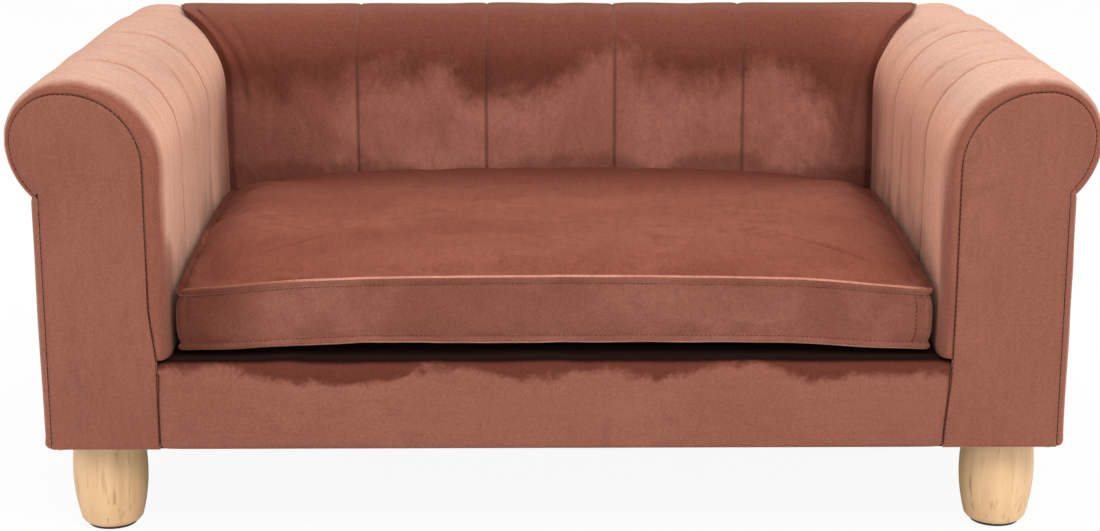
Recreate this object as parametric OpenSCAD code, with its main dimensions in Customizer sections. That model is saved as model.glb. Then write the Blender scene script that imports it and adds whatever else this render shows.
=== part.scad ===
// Small upholstered sofa bed for a dog: rolled arms, channelled back, loose box cushion, turned legs.
// Millimetres. X runs to the sofa's left-to-right, Y to the back, Z up. The origin is on the floor
// under the middle of the sofa. Side pieces are drawn on the right (+X) and mirrored to the left.

/* [Sofa] */
// Width over the rolled arms
sofa_w = 700; // [600:1:900]
// Depth from the front panels to the outside back
sofa_d = 430; // [390:1:560]
// Height over the rolled arms at the front
sofa_h = 310; // [296:1:350]
// Height of the top of the back
back_h = 299; // [285:1:310]
// Height of the seat deck with its lining
seat_z = 126; // [122:1:132]
// Width of an arm over its roll
arm_w = 100; // [94:1:112]
// Thickness of the back
back_t = 87; // [80:1:100]

/* [Arms] */
// Radius of the roll on the seat side
roll_in_r = 58; // [54:0.5:60]
// Width of the flat on top of the roll
roll_flat = 4; // [1:0.5:6]
// Radius of the roll's underside
roll_low_r = 55; // [48:0.5:60]
// How far the outside panels stand back under the roll
side_inset = 16; // [12:0.5:20]
// How much lower the roll is at the rear than at the front
arm_fall = 10; // [0:0.5:12]
// Distance of the first cross seam behind the front
arm_seam_front = 100; // [80:1:120]
// Distance of the second cross seam behind the front
arm_seam_rear = 238; // [200:1:270]
// Depth of the stitched cross seams
arm_seam_dip = 3; // [1:0.25:4]
// How far the rounding of an arm's end reaches
arm_edge_run = 14; // [10:0.5:18]

/* [Back] */
// Number of stitched channels in the back
back_channels = 5; // [3:1:7]
// Depth of the stitched channel seams
back_seam_dip = 5; // [2:0.25:6]
// Radius of the back's top edge on the seat side
back_front_r = 40; // [34:0.5:46]
// Radius of the back's top edge at the rear
back_rear_r = 20; // [17:0.5:24]
// How far the back cover reaches down behind its rear edge
back_hem = 17; // [10:1:30]
// Gap between the back and the arms at their seam
back_side_gap = 0.8; // [0.5:0.1:0.9]

/* [Upholstery] */
// Thickness of the velvet
velvet_t = 2; // [1.5:0.1:2.4]
// Thickness of the velvet quilted to its wadding at its fullest
quilt_t = 8; // [7.5:0.25:9]
// Thickness of the quilted cover at the back's rear hem
quilt_hem_t = 4; // [3:0.25:4.5]
// Thickness of the folded velvet where an arm's cover ends
quilt_fold_t = 1.5; // [1:0.1:2]
// Thickness of the foam over the arms
arm_foam_t = 8; // [6:0.25:9]
// Thickness of the foam pads in front of the arms
arm_pad_t = 4; // [3:0.25:6]
// Thickness of the foam on the base front
base_pad_t = 6; // [4:0.25:7]
// Thickness of the card that wraps the arms and closes the sides and back
card_t = 2; // [1.5:0.1:2.5]
// Radius of the padded top edge of the base front
base_edge_r = 12; // [10:0.5:13]
// How far the base front cover reaches over the deck
base_tongue = 45; // [30:1:60]
// Thickness of the black dust cover
dust_t = 0.5; // [0.4:0.1:0.8]
// How far the dust cover's edge lies inside the sofa's underside
dust_inset = 6; // [4:0.5:10]
// Width of the hems that fold under the base
hem_w = 18; // [12:1:20]

/* [Frame] */
// Thickness of the scroll boards in the arms
board_t = 12; // [9:0.5:15]
// Thickness of the base rails
rail_t = 18; // [15:0.5:20]
// Thickness of the seat deck board
deck_t = 6; // [4:0.5:8]
// Width of a seat slat
slat_w = 40; // [30:1:50]
// Number of seat slats
slats = 3; // [2:1:4]
// Width of a roll batten
batten_w = 24; // [18:0.5:26]
// Height of a batten
batten_h = 20; // [16:0.5:24]
// Width of a back post
post_w = 28; // [22:0.5:36]
// Depth of the back's top rail
top_rail_d = 36; // [30:0.5:38]
// Height of the back's top rail
top_rail_h = 30; // [26:0.5:38]
// Thickness of the hardboard in the back
back_board_t = 3; // [2.5:0.1:4]
// Side of a corner block
block_w = 60; // [54:0.5:66]
// Height of a corner block
block_h = 36; // [30:0.5:40]

/* [Legs] */
// Height of a leg with its glide
leg_h = 65; // [56:0.5:74]
// Largest diameter of a leg
leg_d = 50; // [44:0.5:56]
// Height of a leg's fullest ring
leg_full_z = 38; // [30:0.5:45]
// Radius of the rounded foot edge
leg_edge_r = 3; // [2:0.25:4]
// Distance of a leg's axis inside the outside panel
leg_side_inset = 35; // [33:0.5:40]
// Distance of a leg's axis behind the front, and in front of the rear
leg_end_inset = 45; // [42:0.5:50]
// Diameter of the leg bolt
bolt_d = 8; // [6:0.5:8]
// Depth of the leg bolt in the leg
bolt_in_leg = 28; // [20:0.5:34]
// How far the leg bolt passes its nut
bolt_past = 3; // [1:0.5:6]
// Diameter of the nut's flange
nut_flange_d = 22; // [18:0.5:24]
// Thickness of the nut's flange
nut_flange_t = 1.8; // [1.2:0.1:2.4]
// Length of the nut's barrel
nut_barrel = 10; // [8:0.5:14]
// Wall of the nut's barrel
nut_wall = 1.5; // [1.2:0.1:2]
// Diameter of a glide
glide_d = 32; // [26:0.5:34]
// Thickness of a glide
glide_t = 2; // [1.5:0.1:3]

/* [Cushion] */
// Gap between the cushion and an arm
cushion_side_gap = 1.5; // [1:0.1:4]
// Distance of the cushion's front flange behind the front
cushion_front = 12; // [8:0.5:20]
// Gap between the cushion's rear flange and the back
cushion_rear_gap = 2.5; // [2:0.1:4]
// Height of the lower flange over the seat deck
cushion_low = 5; // [3:0.25:7]
// Height between the two flanges at the corners
cushion_t = 41; // [36:0.5:50]
// How much the middle of a side's upper flange stands above its corners
cushion_arch = 4.5; // [0:0.25:6]
// How much the top swells above its flange
cushion_crown = 12; // [6:0.5:16]
// How far from the edge the top goes on swelling
crown_run = 125; // [90:1:140]
// How far from the edge the bottom is lifted off the deck
bottom_run = 30; // [22:1:45]
// How far the flanges stand out from the boxing
flange_w = 5; // [4:0.25:6]
// How much a flange turns up at its edge
flange_lift = 1.5; // [0.5:0.25:2.5]
// How far the boxing is drawn in between the flanges
boxing_dip = 3; // [2:0.25:4]
// How far a side is drawn in between its corners
side_pull = 2; // [0:0.25:4]
// Radius of the cushion's corners
cushion_corner_r = 14; // [12:0.5:20]
// Thickness of the cushion's fabric
cushion_fabric_t = 1.5; // [1.2:0.1:1.8]

/* [Zip] */
// Distance of the zip's ends inside the cushion's sides
zip_end = 58.5; // [50:0.5:90]
// Width of the zip tape
tape_w = 22; // [18:0.5:26]
// Thickness of the zip tape
tape_t = 0.8; // [0.6:0.1:1]
// Width of the zip's coil
coil_w = 5.4; // [4:0.1:6]
// Thickness of the zip's coil
coil_t = 2.4; // [2:0.1:2.6]
// Length of the slider
slider_len = 10; // [8:0.5:12]
// Wall of the slider
slider_wall = 1.2; // [1:0.1:1.4]
// Width of the slider's bridge
bridge_w = 3; // [2:0.1:4]
// Height of the slider's bridge
bridge_h = 1.5; // [1.2:0.1:1.8]

/* [Hidden] */
$fn = 48;

// Colours
velvet = [0.60, 0.37, 0.31];
velvet_light = [0.80, 0.58, 0.49];
velvet_dark = [0.45, 0.27, 0.22];
pine = [0.87, 0.74, 0.53];
plywood = [0.80, 0.66, 0.45];
leg_wood = [0.89, 0.72, 0.53];
brown_card = [0.62, 0.50, 0.36];
cream_foam = [0.93, 0.90, 0.78];
black_cloth = [0.10, 0.10, 0.11];
zinc = [0.72, 0.73, 0.75];

// Clearances and the overrun of every cut
seat_gap = 0.3;
foam_gap = 0.8;
bolt_gap = 0.15;
zip_gap = 0.1;
bore_gap = 0.5;
over = 1;

// Main planes, each to the right of or behind the sofa's middle
front_y = -sofa_d / 2;
rear_y = sofa_d / 2;
face_y = rear_y - back_t;
seat_x = sofa_w / 2 - arm_w;
side_x = sofa_w / 2 - side_inset;
hem_z = leg_h + dust_t;
frame_z = hem_z + velvet_t;
deck_z = seat_z - velvet_t;
rail_top_z = deck_z - deck_t;
cover_z = seat_z + seat_gap;
frame_side_x = side_x - velvet_t - card_t;
frame_rear_y = rear_y - velvet_t - card_t;

// Layers of an arm, each the distance of its outer face inside the fullest outline
cover_fold_e = quilt_t - quilt_fold_t;
foam_e = quilt_t + seat_gap;
card_e = quilt_t + arm_foam_t;
board_e = card_e + card_t;
board_x = seat_x + board_e;
panel_x = seat_x + foam_e;
panel_side = velvet_t + seat_gap;
base_x = panel_x - seat_gap;

// Depths of the frame's pieces
front_board_y = front_y + velvet_t + arm_pad_t;
rear_board_y = rear_y - velvet_t - board_t;
batten_front_y = front_board_y + board_t;
front_rail_y = front_y + velvet_t + seat_gap + base_pad_t;
rear_rail_y = frame_rear_y - rail_t;
deck_front_y = front_y + base_edge_r + seat_gap;
back_board_y = frame_rear_y - top_rail_d - back_board_t;

// Roll of an arm
face_shares = [0, 0.3, 0.6, 0.85];
roll_in_steps = 8;
roll_out_steps = 6;
roll_low_steps = 3;
roll_out_r = arm_w - roll_in_r - roll_flat;
roll_in_x = seat_x + roll_in_r;
roll_out_x = roll_in_x + roll_flat;
roll_low_x = sofa_w / 2 - roll_low_r;
notch_a = acos((roll_low_r - side_inset) / roll_low_r);

// Stitched channels: places across a channel, and how sharply its surface falls to the seams
channel_shares = [0.03, 0.1, 0.25, 0.5, 0.75, 0.9, 0.97, 1];
first_channel_shares = [0.5, 0.75, 0.9, 0.97, 1];
channel_power = 4;
edge_steps = 4;

// Back
back_arc_z = back_h - back_front_r;
back_rear_z = back_h - back_rear_r;
back_rear_arc_y = rear_y - back_rear_r;
back_hem_z = back_rear_z - back_hem;
back_x = seat_x + arm_seam_dip - back_side_gap;
back_arc_steps = 6;
back_rear_steps = 4;
back_face_shares = [0, 0.35, 0.7, 1];
back_foam_r = back_front_r - quilt_t - seat_gap;
back_foam_steps = 3;
top_rail_z = back_rear_z - seat_gap;
back_split_a = asin((top_rail_z - back_arc_z) / back_foam_r);

// Legs
leg_x = side_x - leg_side_inset;
leg_y = rear_y - leg_end_inset;
leg_fall_share = 0.24;
leg_steps = 11;
edge_arc_steps = 4;

// Cushion
cushion_x = seat_x - cushion_side_gap;
cushion_front_y = front_y + cushion_front;
cushion_rear_y = face_y - cushion_rear_gap;
cushion_mid_y = (cushion_front_y + cushion_rear_y) / 2;
cushion_half_d = (cushion_rear_y - cushion_front_y) / 2;
cushion_low_z = seat_z + cushion_low;
cushion_top_z = cushion_low_z + cushion_t;
cushion_mid_z = (cushion_low_z + cushion_top_z) / 2;
long_side_steps = 6;
short_side_steps = 4;
corner_steps = 3;
corner_growth_share = 0.25;
corner_limit_share = 0.9;
crown_power = 2.2;
crown_shares = [0.08, 0.22, 0.48, 1];
valley_share = 0.4;

// Zip on the flat middle of the rear boxing
zip_len = 2 * (cushion_x - zip_end);
boxing_y = cushion_rear_y - flange_w - boxing_dip;
tape_y = boxing_y + seat_gap;
coil_y = tape_y + tape_t + zip_gap + coil_t / 2;
zip_band = tape_w / 2 + over;
stop_len = 3;
slider_x = -zip_len / 2 + stop_len + slider_len;

function mix(a, b, s) = a + (b - a) * s;
function middle(ring) = [for (i = [0 : 2]) [for (p = ring) 1] * [for (p = ring) p[i]] / len(ring)];
function reversed(list) = [for (i = [len(list) - 1 : -1 : 0]) list[i]];
function seam_dip(depth, t) = depth * pow(abs(2 * t - 1), channel_power);

// Height of the roll's top, and of the notch under it, at a depth y
function arm_top(y) = sofa_h - arm_fall * (y - front_y) / sofa_d;
function notch_z(x, y) = arm_top(y) - roll_out_r - (x - roll_low_x) * tan(notch_a);

// Path round an arm from the seat, up its inner face, over the roll and down to the notch
function wrap_path(e, y, low_z) =
    let (in_z = arm_top(y) - roll_in_r, out_z = arm_top(y) - roll_out_r)
    concat(
        [for (s = face_shares) [seat_x + e, y, mix(low_z, in_z, s)]],
        [for (i = [0 : roll_in_steps])
            let (a = 180 - 90 * i / roll_in_steps, r = roll_in_r - e)
            [roll_in_x + r * cos(a), y, in_z + r * sin(a)]],
        [for (i = [0 : roll_out_steps])
            let (a = 90 - 90 * i / roll_out_steps, r = roll_out_r - e)
            [roll_out_x + r * cos(a), y, out_z + r * sin(a)]],
        [for (i = [1 : roll_low_steps])
            let (a = -notch_a * i / roll_low_steps, r = roll_low_r - e)
            [roll_low_x + r * cos(a), y, out_z + r * sin(a)]]
    );

// Closed outline of an arm's end, e inside the wrap and s inside the outside panel
function arm_outline(e, s, y, low_z) =
    concat(
        [for (p = wrap_path(e, y, low_z)) [p[0], p[2]]],
        [[side_x - s, notch_z(side_x - s, y)], [side_x - s, low_z]]
    );

// Height over which the back's sides follow the roll of the arms
back_flat_z = min(arm_top(face_y) - roll_in_r, back_arc_z - over);

// Half the back's width at a height z, where it meets the roll of the arms
function back_half_w(z) =
    let (arc_z = arm_top(face_y) - roll_in_r, r = roll_in_r - arm_seam_dip + back_side_gap)
    z < arc_z ? back_x : roll_in_x - sqrt(max(0, r * r - (z - arc_z) * (z - arc_z)));

// Closed solid through rings of equally many points, closed over the middle of its end rings
module ring_solid(rings) {
    n = len(rings[0]);
    count = len(rings);
    last = (count - 1) * n;
    sides = [
        for (k = [0 : count - 2]) for (i = [0 : n - 1])
            let (j = (i + 1) % n, a = k * n, b = a + n)
            each [[a + i, b + i, b + j], [a + i, b + j, a + j]]
    ];
    ends = [
        for (i = [0 : n - 1])
            let (j = (i + 1) % n)
            each [[last + n, i, j], [last + n + 1, last + j, last + i]]
    ];
    middles = [middle(rings[0]), middle(rings[count - 1])];
    polyhedron(concat([for (r = rings) each r], middles), concat(sides, ends));
}

// Closed band through rings, the last joined to the first
module band_solid(rings) {
    n = len(rings[0]);
    count = len(rings);
    sides = [
        for (k = [0 : count - 1]) for (i = [0 : n - 1])
            let (j = (i + 1) % n, a = k * n, b = (k + 1) % count * n)
            each [[a + i, b + i, b + j], [a + i, b + j, a + j]]
    ];
    polyhedron([for (r = rings) each r], sides);
}

// Layer with a full outer surface in many rows and a plain inner surface in few rows. Each inner
// row stands under the outer row that its mark counts to.
module quilt(rows, inner_rows, marks) {
    m = len(rows[0]);
    spans = len(inner_rows) - 1;
    last = (len(rows) - 1) * m;
    a = last + m;
    b = a + spans * m;
    outer = [
        for (i = [0 : len(rows) - 2]) for (j = [0 : m - 2])
            let (p = i * m + j, q = p + m)
            each [[p, q, q + 1], [p, q + 1, p + 1]]
    ];
    inner = [
        for (k = [0 : spans - 1]) for (j = [0 : m - 2])
            let (p = a + k * m + j, q = p + m)
            each [[p, p + 1, q + 1], [p, q + 1, q]]
    ];
    ends = [
        for (j = [0 : m - 2])
            each [
                [j, j + 1, a + j + 1], [j, a + j + 1, a + j],
                [last + j, b + j, b + j + 1], [last + j, b + j + 1, last + j + 1]
            ]
    ];
    edges = [
        for (k = [0 : spans - 1])
            let (p = a + k * m, q = p + m)
            each [
                [p, q, for (i = [marks[k + 1] : -1 : marks[k]]) i * m],
                [q + m - 1, p + m - 1, for (i = [marks[k] : marks[k + 1]]) i * m + m - 1]
            ]
    ];
    points = [for (r = concat(rows, inner_rows)) each r];
    polyhedron(points, concat(outer, inner, ends, edges));
}

// Plate of an outline in X and Z between two depths
module xz_plate(points, y_low, y_high) {
    translate([0, y_high, 0])
        rotate([90, 0, 0])
            linear_extrude(y_high - y_low)
                polygon(points);
}

// Plate of an outline in Y and Z between two places along X
module yz_plate(points, x_low, x_high) {
    translate([x_low, 0, 0])
        rotate([90, 0, 90])
            linear_extrude(x_high - x_low)
                polygon(points);
}

// Straight box between two corners
module block(low, high) {
    translate(low)
        cube(high - low);
}

// Bar between the scroll boards whose ends follow the fall of the roll
module falling_bar(x_low, x_high, z_at, h) {
    ring_solid([
        for (e = z_at)
            [
                [x_low, e[0], e[1] - h], [x_low, e[0], e[1]],
                [x_high, e[0], e[1]], [x_high, e[0], e[1] - h]
            ]
    ]);
}

module left() {
    mirror([1, 0, 0])
        children();
}

module at_legs() {
    for (x = [-leg_x, leg_x])
        for (y = [-leg_y, leg_y])
            translate([x, y, 0])
                children();
}

// Base frame
module front_rail() {
    color(pine)
        block([-board_x, front_rail_y, frame_z], [board_x, front_rail_y + rail_t, rail_top_z]);
}

module rear_rail() {
    color(pine)
        block([-board_x, rear_rail_y, frame_z], [board_x, frame_rear_y, rail_top_z]);
}

module right_side_rail() {
    color(pine)
        block([frame_side_x - rail_t, batten_front_y, frame_z],
              [frame_side_x, rear_board_y, rail_top_z]);
}

module left_side_rail() {
    left() right_side_rail();
}

module seat_slats() {
    pitch = 2 * seat_x / slats;
    color(pine)
        for (i = [0 : slats - 1])
            translate([(i - (slats - 1) / 2) * pitch, 0, 0])
                block([-slat_w / 2, front_rail_y + rail_t, rail_top_z - rail_t],
                      [slat_w / 2, rear_rail_y, rail_top_z]);
}

module seat_deck() {
    color(plywood)
        block([-board_x, deck_front_y, rail_top_z], [board_x, frame_rear_y, deck_z]);
}

module corner_block(y_low) {
    top = frame_z + block_h;
    difference() {
        block([frame_side_x - rail_t - block_w, y_low, frame_z],
              [frame_side_x - rail_t, y_low + block_w, top]);
        at_legs() {
            translate([0, 0, frame_z - over])
                cylinder(r = bolt_d / 2 + bore_gap, h = block_h + 2 * over);
            translate([0, 0, top - nut_barrel - bore_gap])
                cylinder(r = bolt_d / 2 + nut_wall + bolt_gap, h = nut_barrel + bore_gap + over);
        }
    }
}

module corner_blocks() {
    color(pine)
        for (side = [0, 1])
            mirror([side, 0, 0]) {
                corner_block(front_rail_y + rail_t);
                corner_block(rear_rail_y - block_w);
            }
}

// Arm frames
module right_front_scroll_board() {
    points = arm_outline(board_e + seat_gap, velvet_t + card_t, batten_front_y, frame_z);
    color(plywood)
        xz_plate(points, front_board_y, batten_front_y);
}

module left_front_scroll_board() {
    left() right_front_scroll_board();
}

module right_rear_scroll_board() {
    y = rear_y - velvet_t;
    points = arm_outline(board_e + seat_gap, velvet_t + card_t, y, frame_z);
    color(plywood)
        xz_plate(points, rear_board_y, y);
}

module left_rear_scroll_board() {
    left() right_rear_scroll_board();
}

module right_roll_batten() {
    r = roll_out_r - board_e;
    half = (batten_w - roll_flat) / 2;
    drop = board_e + r - sqrt(r * r - half * half) + seat_gap;
    mid = (roll_in_x + roll_out_x) / 2;
    ends = [for (y = [batten_front_y, rear_board_y]) [y, arm_top(y) - drop]];
    color(pine)
        falling_bar(mid - batten_w / 2, mid + batten_w / 2, ends, batten_h);
}

module left_roll_batten() {
    left() right_roll_batten();
}

module right_notch_batten() {
    ends = [
        for (y = [batten_front_y, rear_board_y]) [y, notch_z(frame_side_x, y) - seat_gap]
    ];
    color(pine)
        falling_bar(frame_side_x - rail_t, frame_side_x, ends, batten_h);
}

module left_notch_batten() {
    left() right_notch_batten();
}

module right_seat_batten() {
    color(pine)
        block([board_x, batten_front_y, deck_z], [board_x + rail_t, rear_board_y, deck_z + batten_h]);
}

module left_seat_batten() {
    left() right_seat_batten();
}

// Back frame
module back_posts() {
    color(pine)
        for (side = [0, 1])
            mirror([side, 0, 0])
                block([back_x - post_w, rear_rail_y, deck_z],
                      [back_x, frame_rear_y, top_rail_z - top_rail_h]);
}

module back_top_rail() {
    color(pine)
        block([-back_x, frame_rear_y - top_rail_d, top_rail_z - top_rail_h],
              [back_x, frame_rear_y, top_rail_z]);
}

module back_board() {
    color(plywood)
        block([-back_x, back_board_y, deck_z],
              [back_x, back_board_y + back_board_t, top_rail_z]);
}

// Plain layer round an arm, between the front pad and the rear panel
module wrap_layer(outer_e, inner_e) {
    ends = [front_board_y, rear_y - velvet_t];
    outer = [for (y = ends) wrap_path(outer_e, y, deck_z)];
    inner = [for (y = ends) wrap_path(inner_e, y, deck_z)];
    quilt(outer, inner, [0, 1]);
}

module right_arm_wrap_card() {
    color(brown_card)
        wrap_layer(card_e, board_e);
}

module left_arm_wrap_card() {
    left() right_arm_wrap_card();
}

module right_arm_foam() {
    color(cream_foam)
        wrap_layer(foam_e, card_e);
}

module left_arm_foam() {
    left() right_arm_foam();
}

// Outside panel of an arm, whose top edge follows the notch
function side_outline(x, y_low, y_high, low_z) = [
    [y_low, low_z], [y_high, low_z],
    [y_high, notch_z(x, y_high) - seat_gap], [y_low, notch_z(x, y_low) - seat_gap]
];

module right_side_card() {
    points = side_outline(frame_side_x + card_t, front_board_y, rear_y - velvet_t, frame_z);
    color(brown_card)
        yz_plate(points, frame_side_x, frame_side_x + card_t);
}

module left_side_card() {
    left() right_side_card();
}

module arm_front_pads() {
    points = arm_outline(foam_e, panel_side, front_board_y, frame_z);
    color(cream_foam)
        for (side = [0, 1])
            mirror([side, 0, 0])
                xz_plate(points, front_y + velvet_t, front_board_y);
}

// Back's foam between two heights, given as angles round the top edge of the seat side
module back_foam_levels(levels, rear_at) {
    ring_solid([
        for (z = levels)
            let (
                x = back_half_w(z),
                rise = max(0, z - back_arc_z),
                run = sqrt(max(0, back_foam_r * back_foam_r - rise * rise)),
                y = face_y + back_front_r - run
            )
            [[-x, y, z], [x, y, z], [x, rear_at(z), z], [-x, rear_at(z), z]]
    ]);
}

module back_foam() {
    arc = [
        for (i = [0 : back_foam_steps])
            back_arc_z + back_foam_r * sin(back_split_a * i / back_foam_steps)
    ];
    color(cream_foam)
        back_foam_levels(concat([deck_z, back_flat_z], arc), function (z) back_board_y);
}

module back_top_foam() {
    arc = [
        for (i = [0 : back_foam_steps])
            back_arc_z + back_foam_r * sin(mix(back_split_a, 90, i / back_foam_steps))
    ];
    rear_r = back_rear_r - quilt_hem_t - over;
    rear_h = back_rear_r - quilt_t - over;
    rear_at = function (z)
        let (s = min(1, max(0, (z - back_rear_z) / rear_h)))
        back_rear_arc_y + rear_r * sqrt(1 - s * s);
    color(cream_foam)
        back_foam_levels(arc, rear_at);
}

// Rounded profile of the base front, at a distance inside its face
function base_edge(inside) = [
    for (i = [0 : edge_arc_steps])
        let (a = 180 - 90 * i / edge_arc_steps, r = base_edge_r - inside)
        [front_y + base_edge_r + r * cos(a), seat_z - base_edge_r + r * sin(a)]
];

module base_front_foam() {
    inside = velvet_t + seat_gap;
    points = concat(
        [[front_y + inside, frame_z]],
        base_edge(inside),
        [
            [front_y + base_edge_r, rail_top_z],
            [front_rail_y, rail_top_z],
            [front_rail_y, frame_z]
        ]
    );
    color(cream_foam)
        yz_plate(points, -base_x, base_x);
}

// Outer surface of an arm's cover: its rounded ends and its channels, as depths and insets
arm_rows = concat(
    [
        for (i = [0 : edge_steps])
            let (a = 90 * i / edge_steps)
            [front_y + velvet_t + arm_edge_run * (1 - cos(a)), cover_fold_e * (1 - sin(a))]
    ],
    [
        for (t = first_channel_shares)
            [front_y + arm_seam_front * t, seam_dip(arm_seam_dip, t)]
    ],
    [
        for (t = channel_shares)
            [front_y + mix(arm_seam_front, arm_seam_rear, t), seam_dip(arm_seam_dip, t)]
    ],
    [
        for (t = channel_shares)
            [mix(front_y + arm_seam_rear, face_y, t), seam_dip(arm_seam_dip, t)]
    ],
    [
        for (i = [0 : edge_steps])
            let (a = 90 * i / edge_steps)
            [
                rear_y - velvet_t - arm_edge_run * (1 - sin(a)),
                mix(arm_seam_dip, cover_fold_e, 1 - cos(a))
            ]
    ]
);

// Rows of the arm's cover at its ends and seams
first_seam_row = edge_steps + len(first_channel_shares);
second_seam_row = first_seam_row + len(channel_shares);
face_seam_row = second_seam_row + len(channel_shares);
arm_marks = [0, first_seam_row, second_seam_row, face_seam_row, len(arm_rows) - 1];

module right_arm_cover() {
    color(velvet_light)
        quilt(
            [for (r = arm_rows) wrap_path(r[1], r[0], cover_z)],
            [for (k = arm_marks) wrap_path(quilt_t, arm_rows[k][0], cover_z)],
            arm_marks
        );
}

module left_arm_cover() {
    left() right_arm_cover();
}

// Flat velvet panel on an arm's end with its hem under the base
module arm_panel(y, y_low, y_high, hem_low, hem_high) {
    xz_plate(arm_outline(foam_e, panel_side, y, hem_z), y_low, y_high);
    block([panel_x, hem_low, hem_z], [side_x - panel_side, hem_high, frame_z]);
}

module right_front_panel() {
    color(velvet)
        arm_panel(front_y + velvet_t, front_y, front_y + velvet_t, front_y, front_y + hem_w);
}

module left_front_panel() {
    left() right_front_panel();
}

module right_rear_panel() {
    color(velvet)
        arm_panel(rear_y, rear_y - velvet_t, rear_y, rear_y - hem_w, rear_y);
}

module left_rear_panel() {
    left() right_rear_panel();
}

module right_side_cover() {
    points = side_outline(side_x, front_y, rear_y, hem_z);
    color(velvet) {
        yz_plate(points, side_x - velvet_t, side_x);
        block([side_x - hem_w, front_y + hem_w + seat_gap, hem_z],
              [side_x, rear_y - hem_w - seat_gap, frame_z]);
    }
}

module left_side_cover() {
    left() right_side_cover();
}

// Profile of the back's cover from the deck up its face, over the top and down to the rear hem
function back_path(x_at, e, face_e, hem_e) =
    let (r = back_front_r - face_e - e)
    concat(
        [
            for (s = back_face_shares)
                let (z = mix(cover_z, back_flat_z, s))
                [x_at(z), face_y + face_e + e, z]
        ],
        [
            for (i = [0 : back_arc_steps])
                let (a = 180 - 90 * i / back_arc_steps, z = back_arc_z + r * sin(a))
                [x_at(z), face_y + back_front_r + r * cos(a), z]
        ],
        [
            for (i = [0 : back_rear_steps])
                let (
                    a = 90 - 90 * i / back_rear_steps,
                    z = back_rear_z + (back_rear_r - face_e - e) * sin(a)
                )
                [x_at(z), back_rear_arc_y + (back_rear_r - hem_e) * cos(a), z]
        ],
        [[x_at(back_hem_z), rear_y - hem_e, back_hem_z]]
    );

// Place across the back at share t of a channel: the outer channels widen with the roll
function channel_x(channel, t, z) =
    let (
        pitch = 2 * seat_x / back_channels,
        flat_x = seat_x - pitch,
        x = seat_x - (channel + t) * pitch,
        past = abs(x) - flat_x
    )
    past <= 0 ? x : sign(x) * (flat_x + past * (back_half_w(z) - flat_x) / pitch);

back_columns = concat(
    [[0, 0]],
    [for (channel = [0 : back_channels - 1]) for (t = channel_shares) [channel, t]]
);
back_marks = [for (channel = [0 : back_channels]) channel * len(channel_shares)];

module back_cover() {
    outer = [
        for (c = back_columns)
            back_path(function (z) channel_x(c[0], c[1], z), seam_dip(back_seam_dip, c[1]), 0, 0)
    ];
    inner = [
        for (c = [0 : back_channels])
            back_path(function (z) channel_x(c, 0, z), 0, quilt_t, quilt_hem_t)
    ];
    color(velvet_dark)
        quilt(outer, inner, back_marks);
}

// Outside back: as wide as the base up to a step, and as wide as the back above it
function outside_back_outline(low_z, step_z) = [
    [-base_x, low_z], [base_x, low_z], [base_x, step_z], [back_x, step_z],
    [back_x, back_hem_z - seat_gap], [-back_x, back_hem_z - seat_gap],
    [-back_x, step_z], [-base_x, step_z]
];

module outside_back_card() {
    color(brown_card)
        xz_plate(outside_back_outline(frame_z, deck_z), frame_rear_y, frame_rear_y + card_t);
}

module outside_back_cover() {
    color(velvet) {
        xz_plate(outside_back_outline(hem_z, back_flat_z), rear_y - velvet_t, rear_y);
        block([-base_x, rear_y - hem_w, hem_z], [base_x, rear_y, frame_z]);
    }
}

module base_front_cover() {
    points = concat(
        [[front_y + hem_w, hem_z], [front_y, hem_z]],
        base_edge(0),
        [[front_y + base_tongue, seat_z], [front_y + base_tongue, deck_z]],
        reversed(base_edge(velvet_t)),
        [[front_y + velvet_t, frame_z], [front_y + hem_w, frame_z]]
    );
    color(velvet)
        yz_plate(points, -base_x, base_x);
}

module deck_lining() {
    color(black_cloth)
        block([-base_x, front_y + base_tongue + seat_gap, deck_z],
              [base_x, face_y + quilt_t, seat_z]);
}

module dust_cover() {
    color(black_cloth)
        difference() {
            block([dust_inset - side_x, front_y + dust_inset, leg_h],
                  [side_x - dust_inset, rear_y - dust_inset, hem_z]);
            at_legs()
                translate([0, 0, leg_h - over])
                    cylinder(r = bolt_d / 2 + bore_gap, h = dust_t + 2 * over);
        }
}

// Turned leg: fullest at one ring, drawn in by a parabola above and below it, round at the foot
function leg_r(z) = leg_d / 2 * (1 - leg_fall_share * pow((z - leg_full_z) / leg_full_z, 2));

module leg(x, y) {
    foot_r = leg_r(glide_t) - leg_edge_r;
    foot = [
        for (i = [0 : edge_arc_steps - 1])
            let (a = 90 * i / edge_arc_steps)
            [foot_r + leg_edge_r * sin(a), glide_t + leg_edge_r * (1 - cos(a))]
    ];
    side = [
        for (i = [0 : leg_steps])
            let (z = mix(glide_t + leg_edge_r, leg_h, i / leg_steps))
            [leg_r(z), z]
    ];
    color(leg_wood)
        translate([x, y, 0])
            difference() {
                rotate_extrude()
                    polygon(concat([[0, glide_t]], foot, side, [[0, leg_h]]));
                translate([0, 0, leg_h - bolt_in_leg])
                    cylinder(r = bolt_d / 2, h = bolt_in_leg + over);
            }
}

module front_left_leg() {
    leg(-leg_x, -leg_y);
}

module front_right_leg() {
    leg(leg_x, -leg_y);
}

module rear_left_leg() {
    leg(-leg_x, leg_y);
}

module rear_right_leg() {
    leg(leg_x, leg_y);
}

module hanger_bolts() {
    low = leg_h - bolt_in_leg;
    high = frame_z + block_h + nut_flange_t + bolt_past;
    color(zinc)
        at_legs()
            translate([0, 0, low])
                cylinder(r = bolt_d / 2 - bolt_gap, h = high - low);
}

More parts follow.
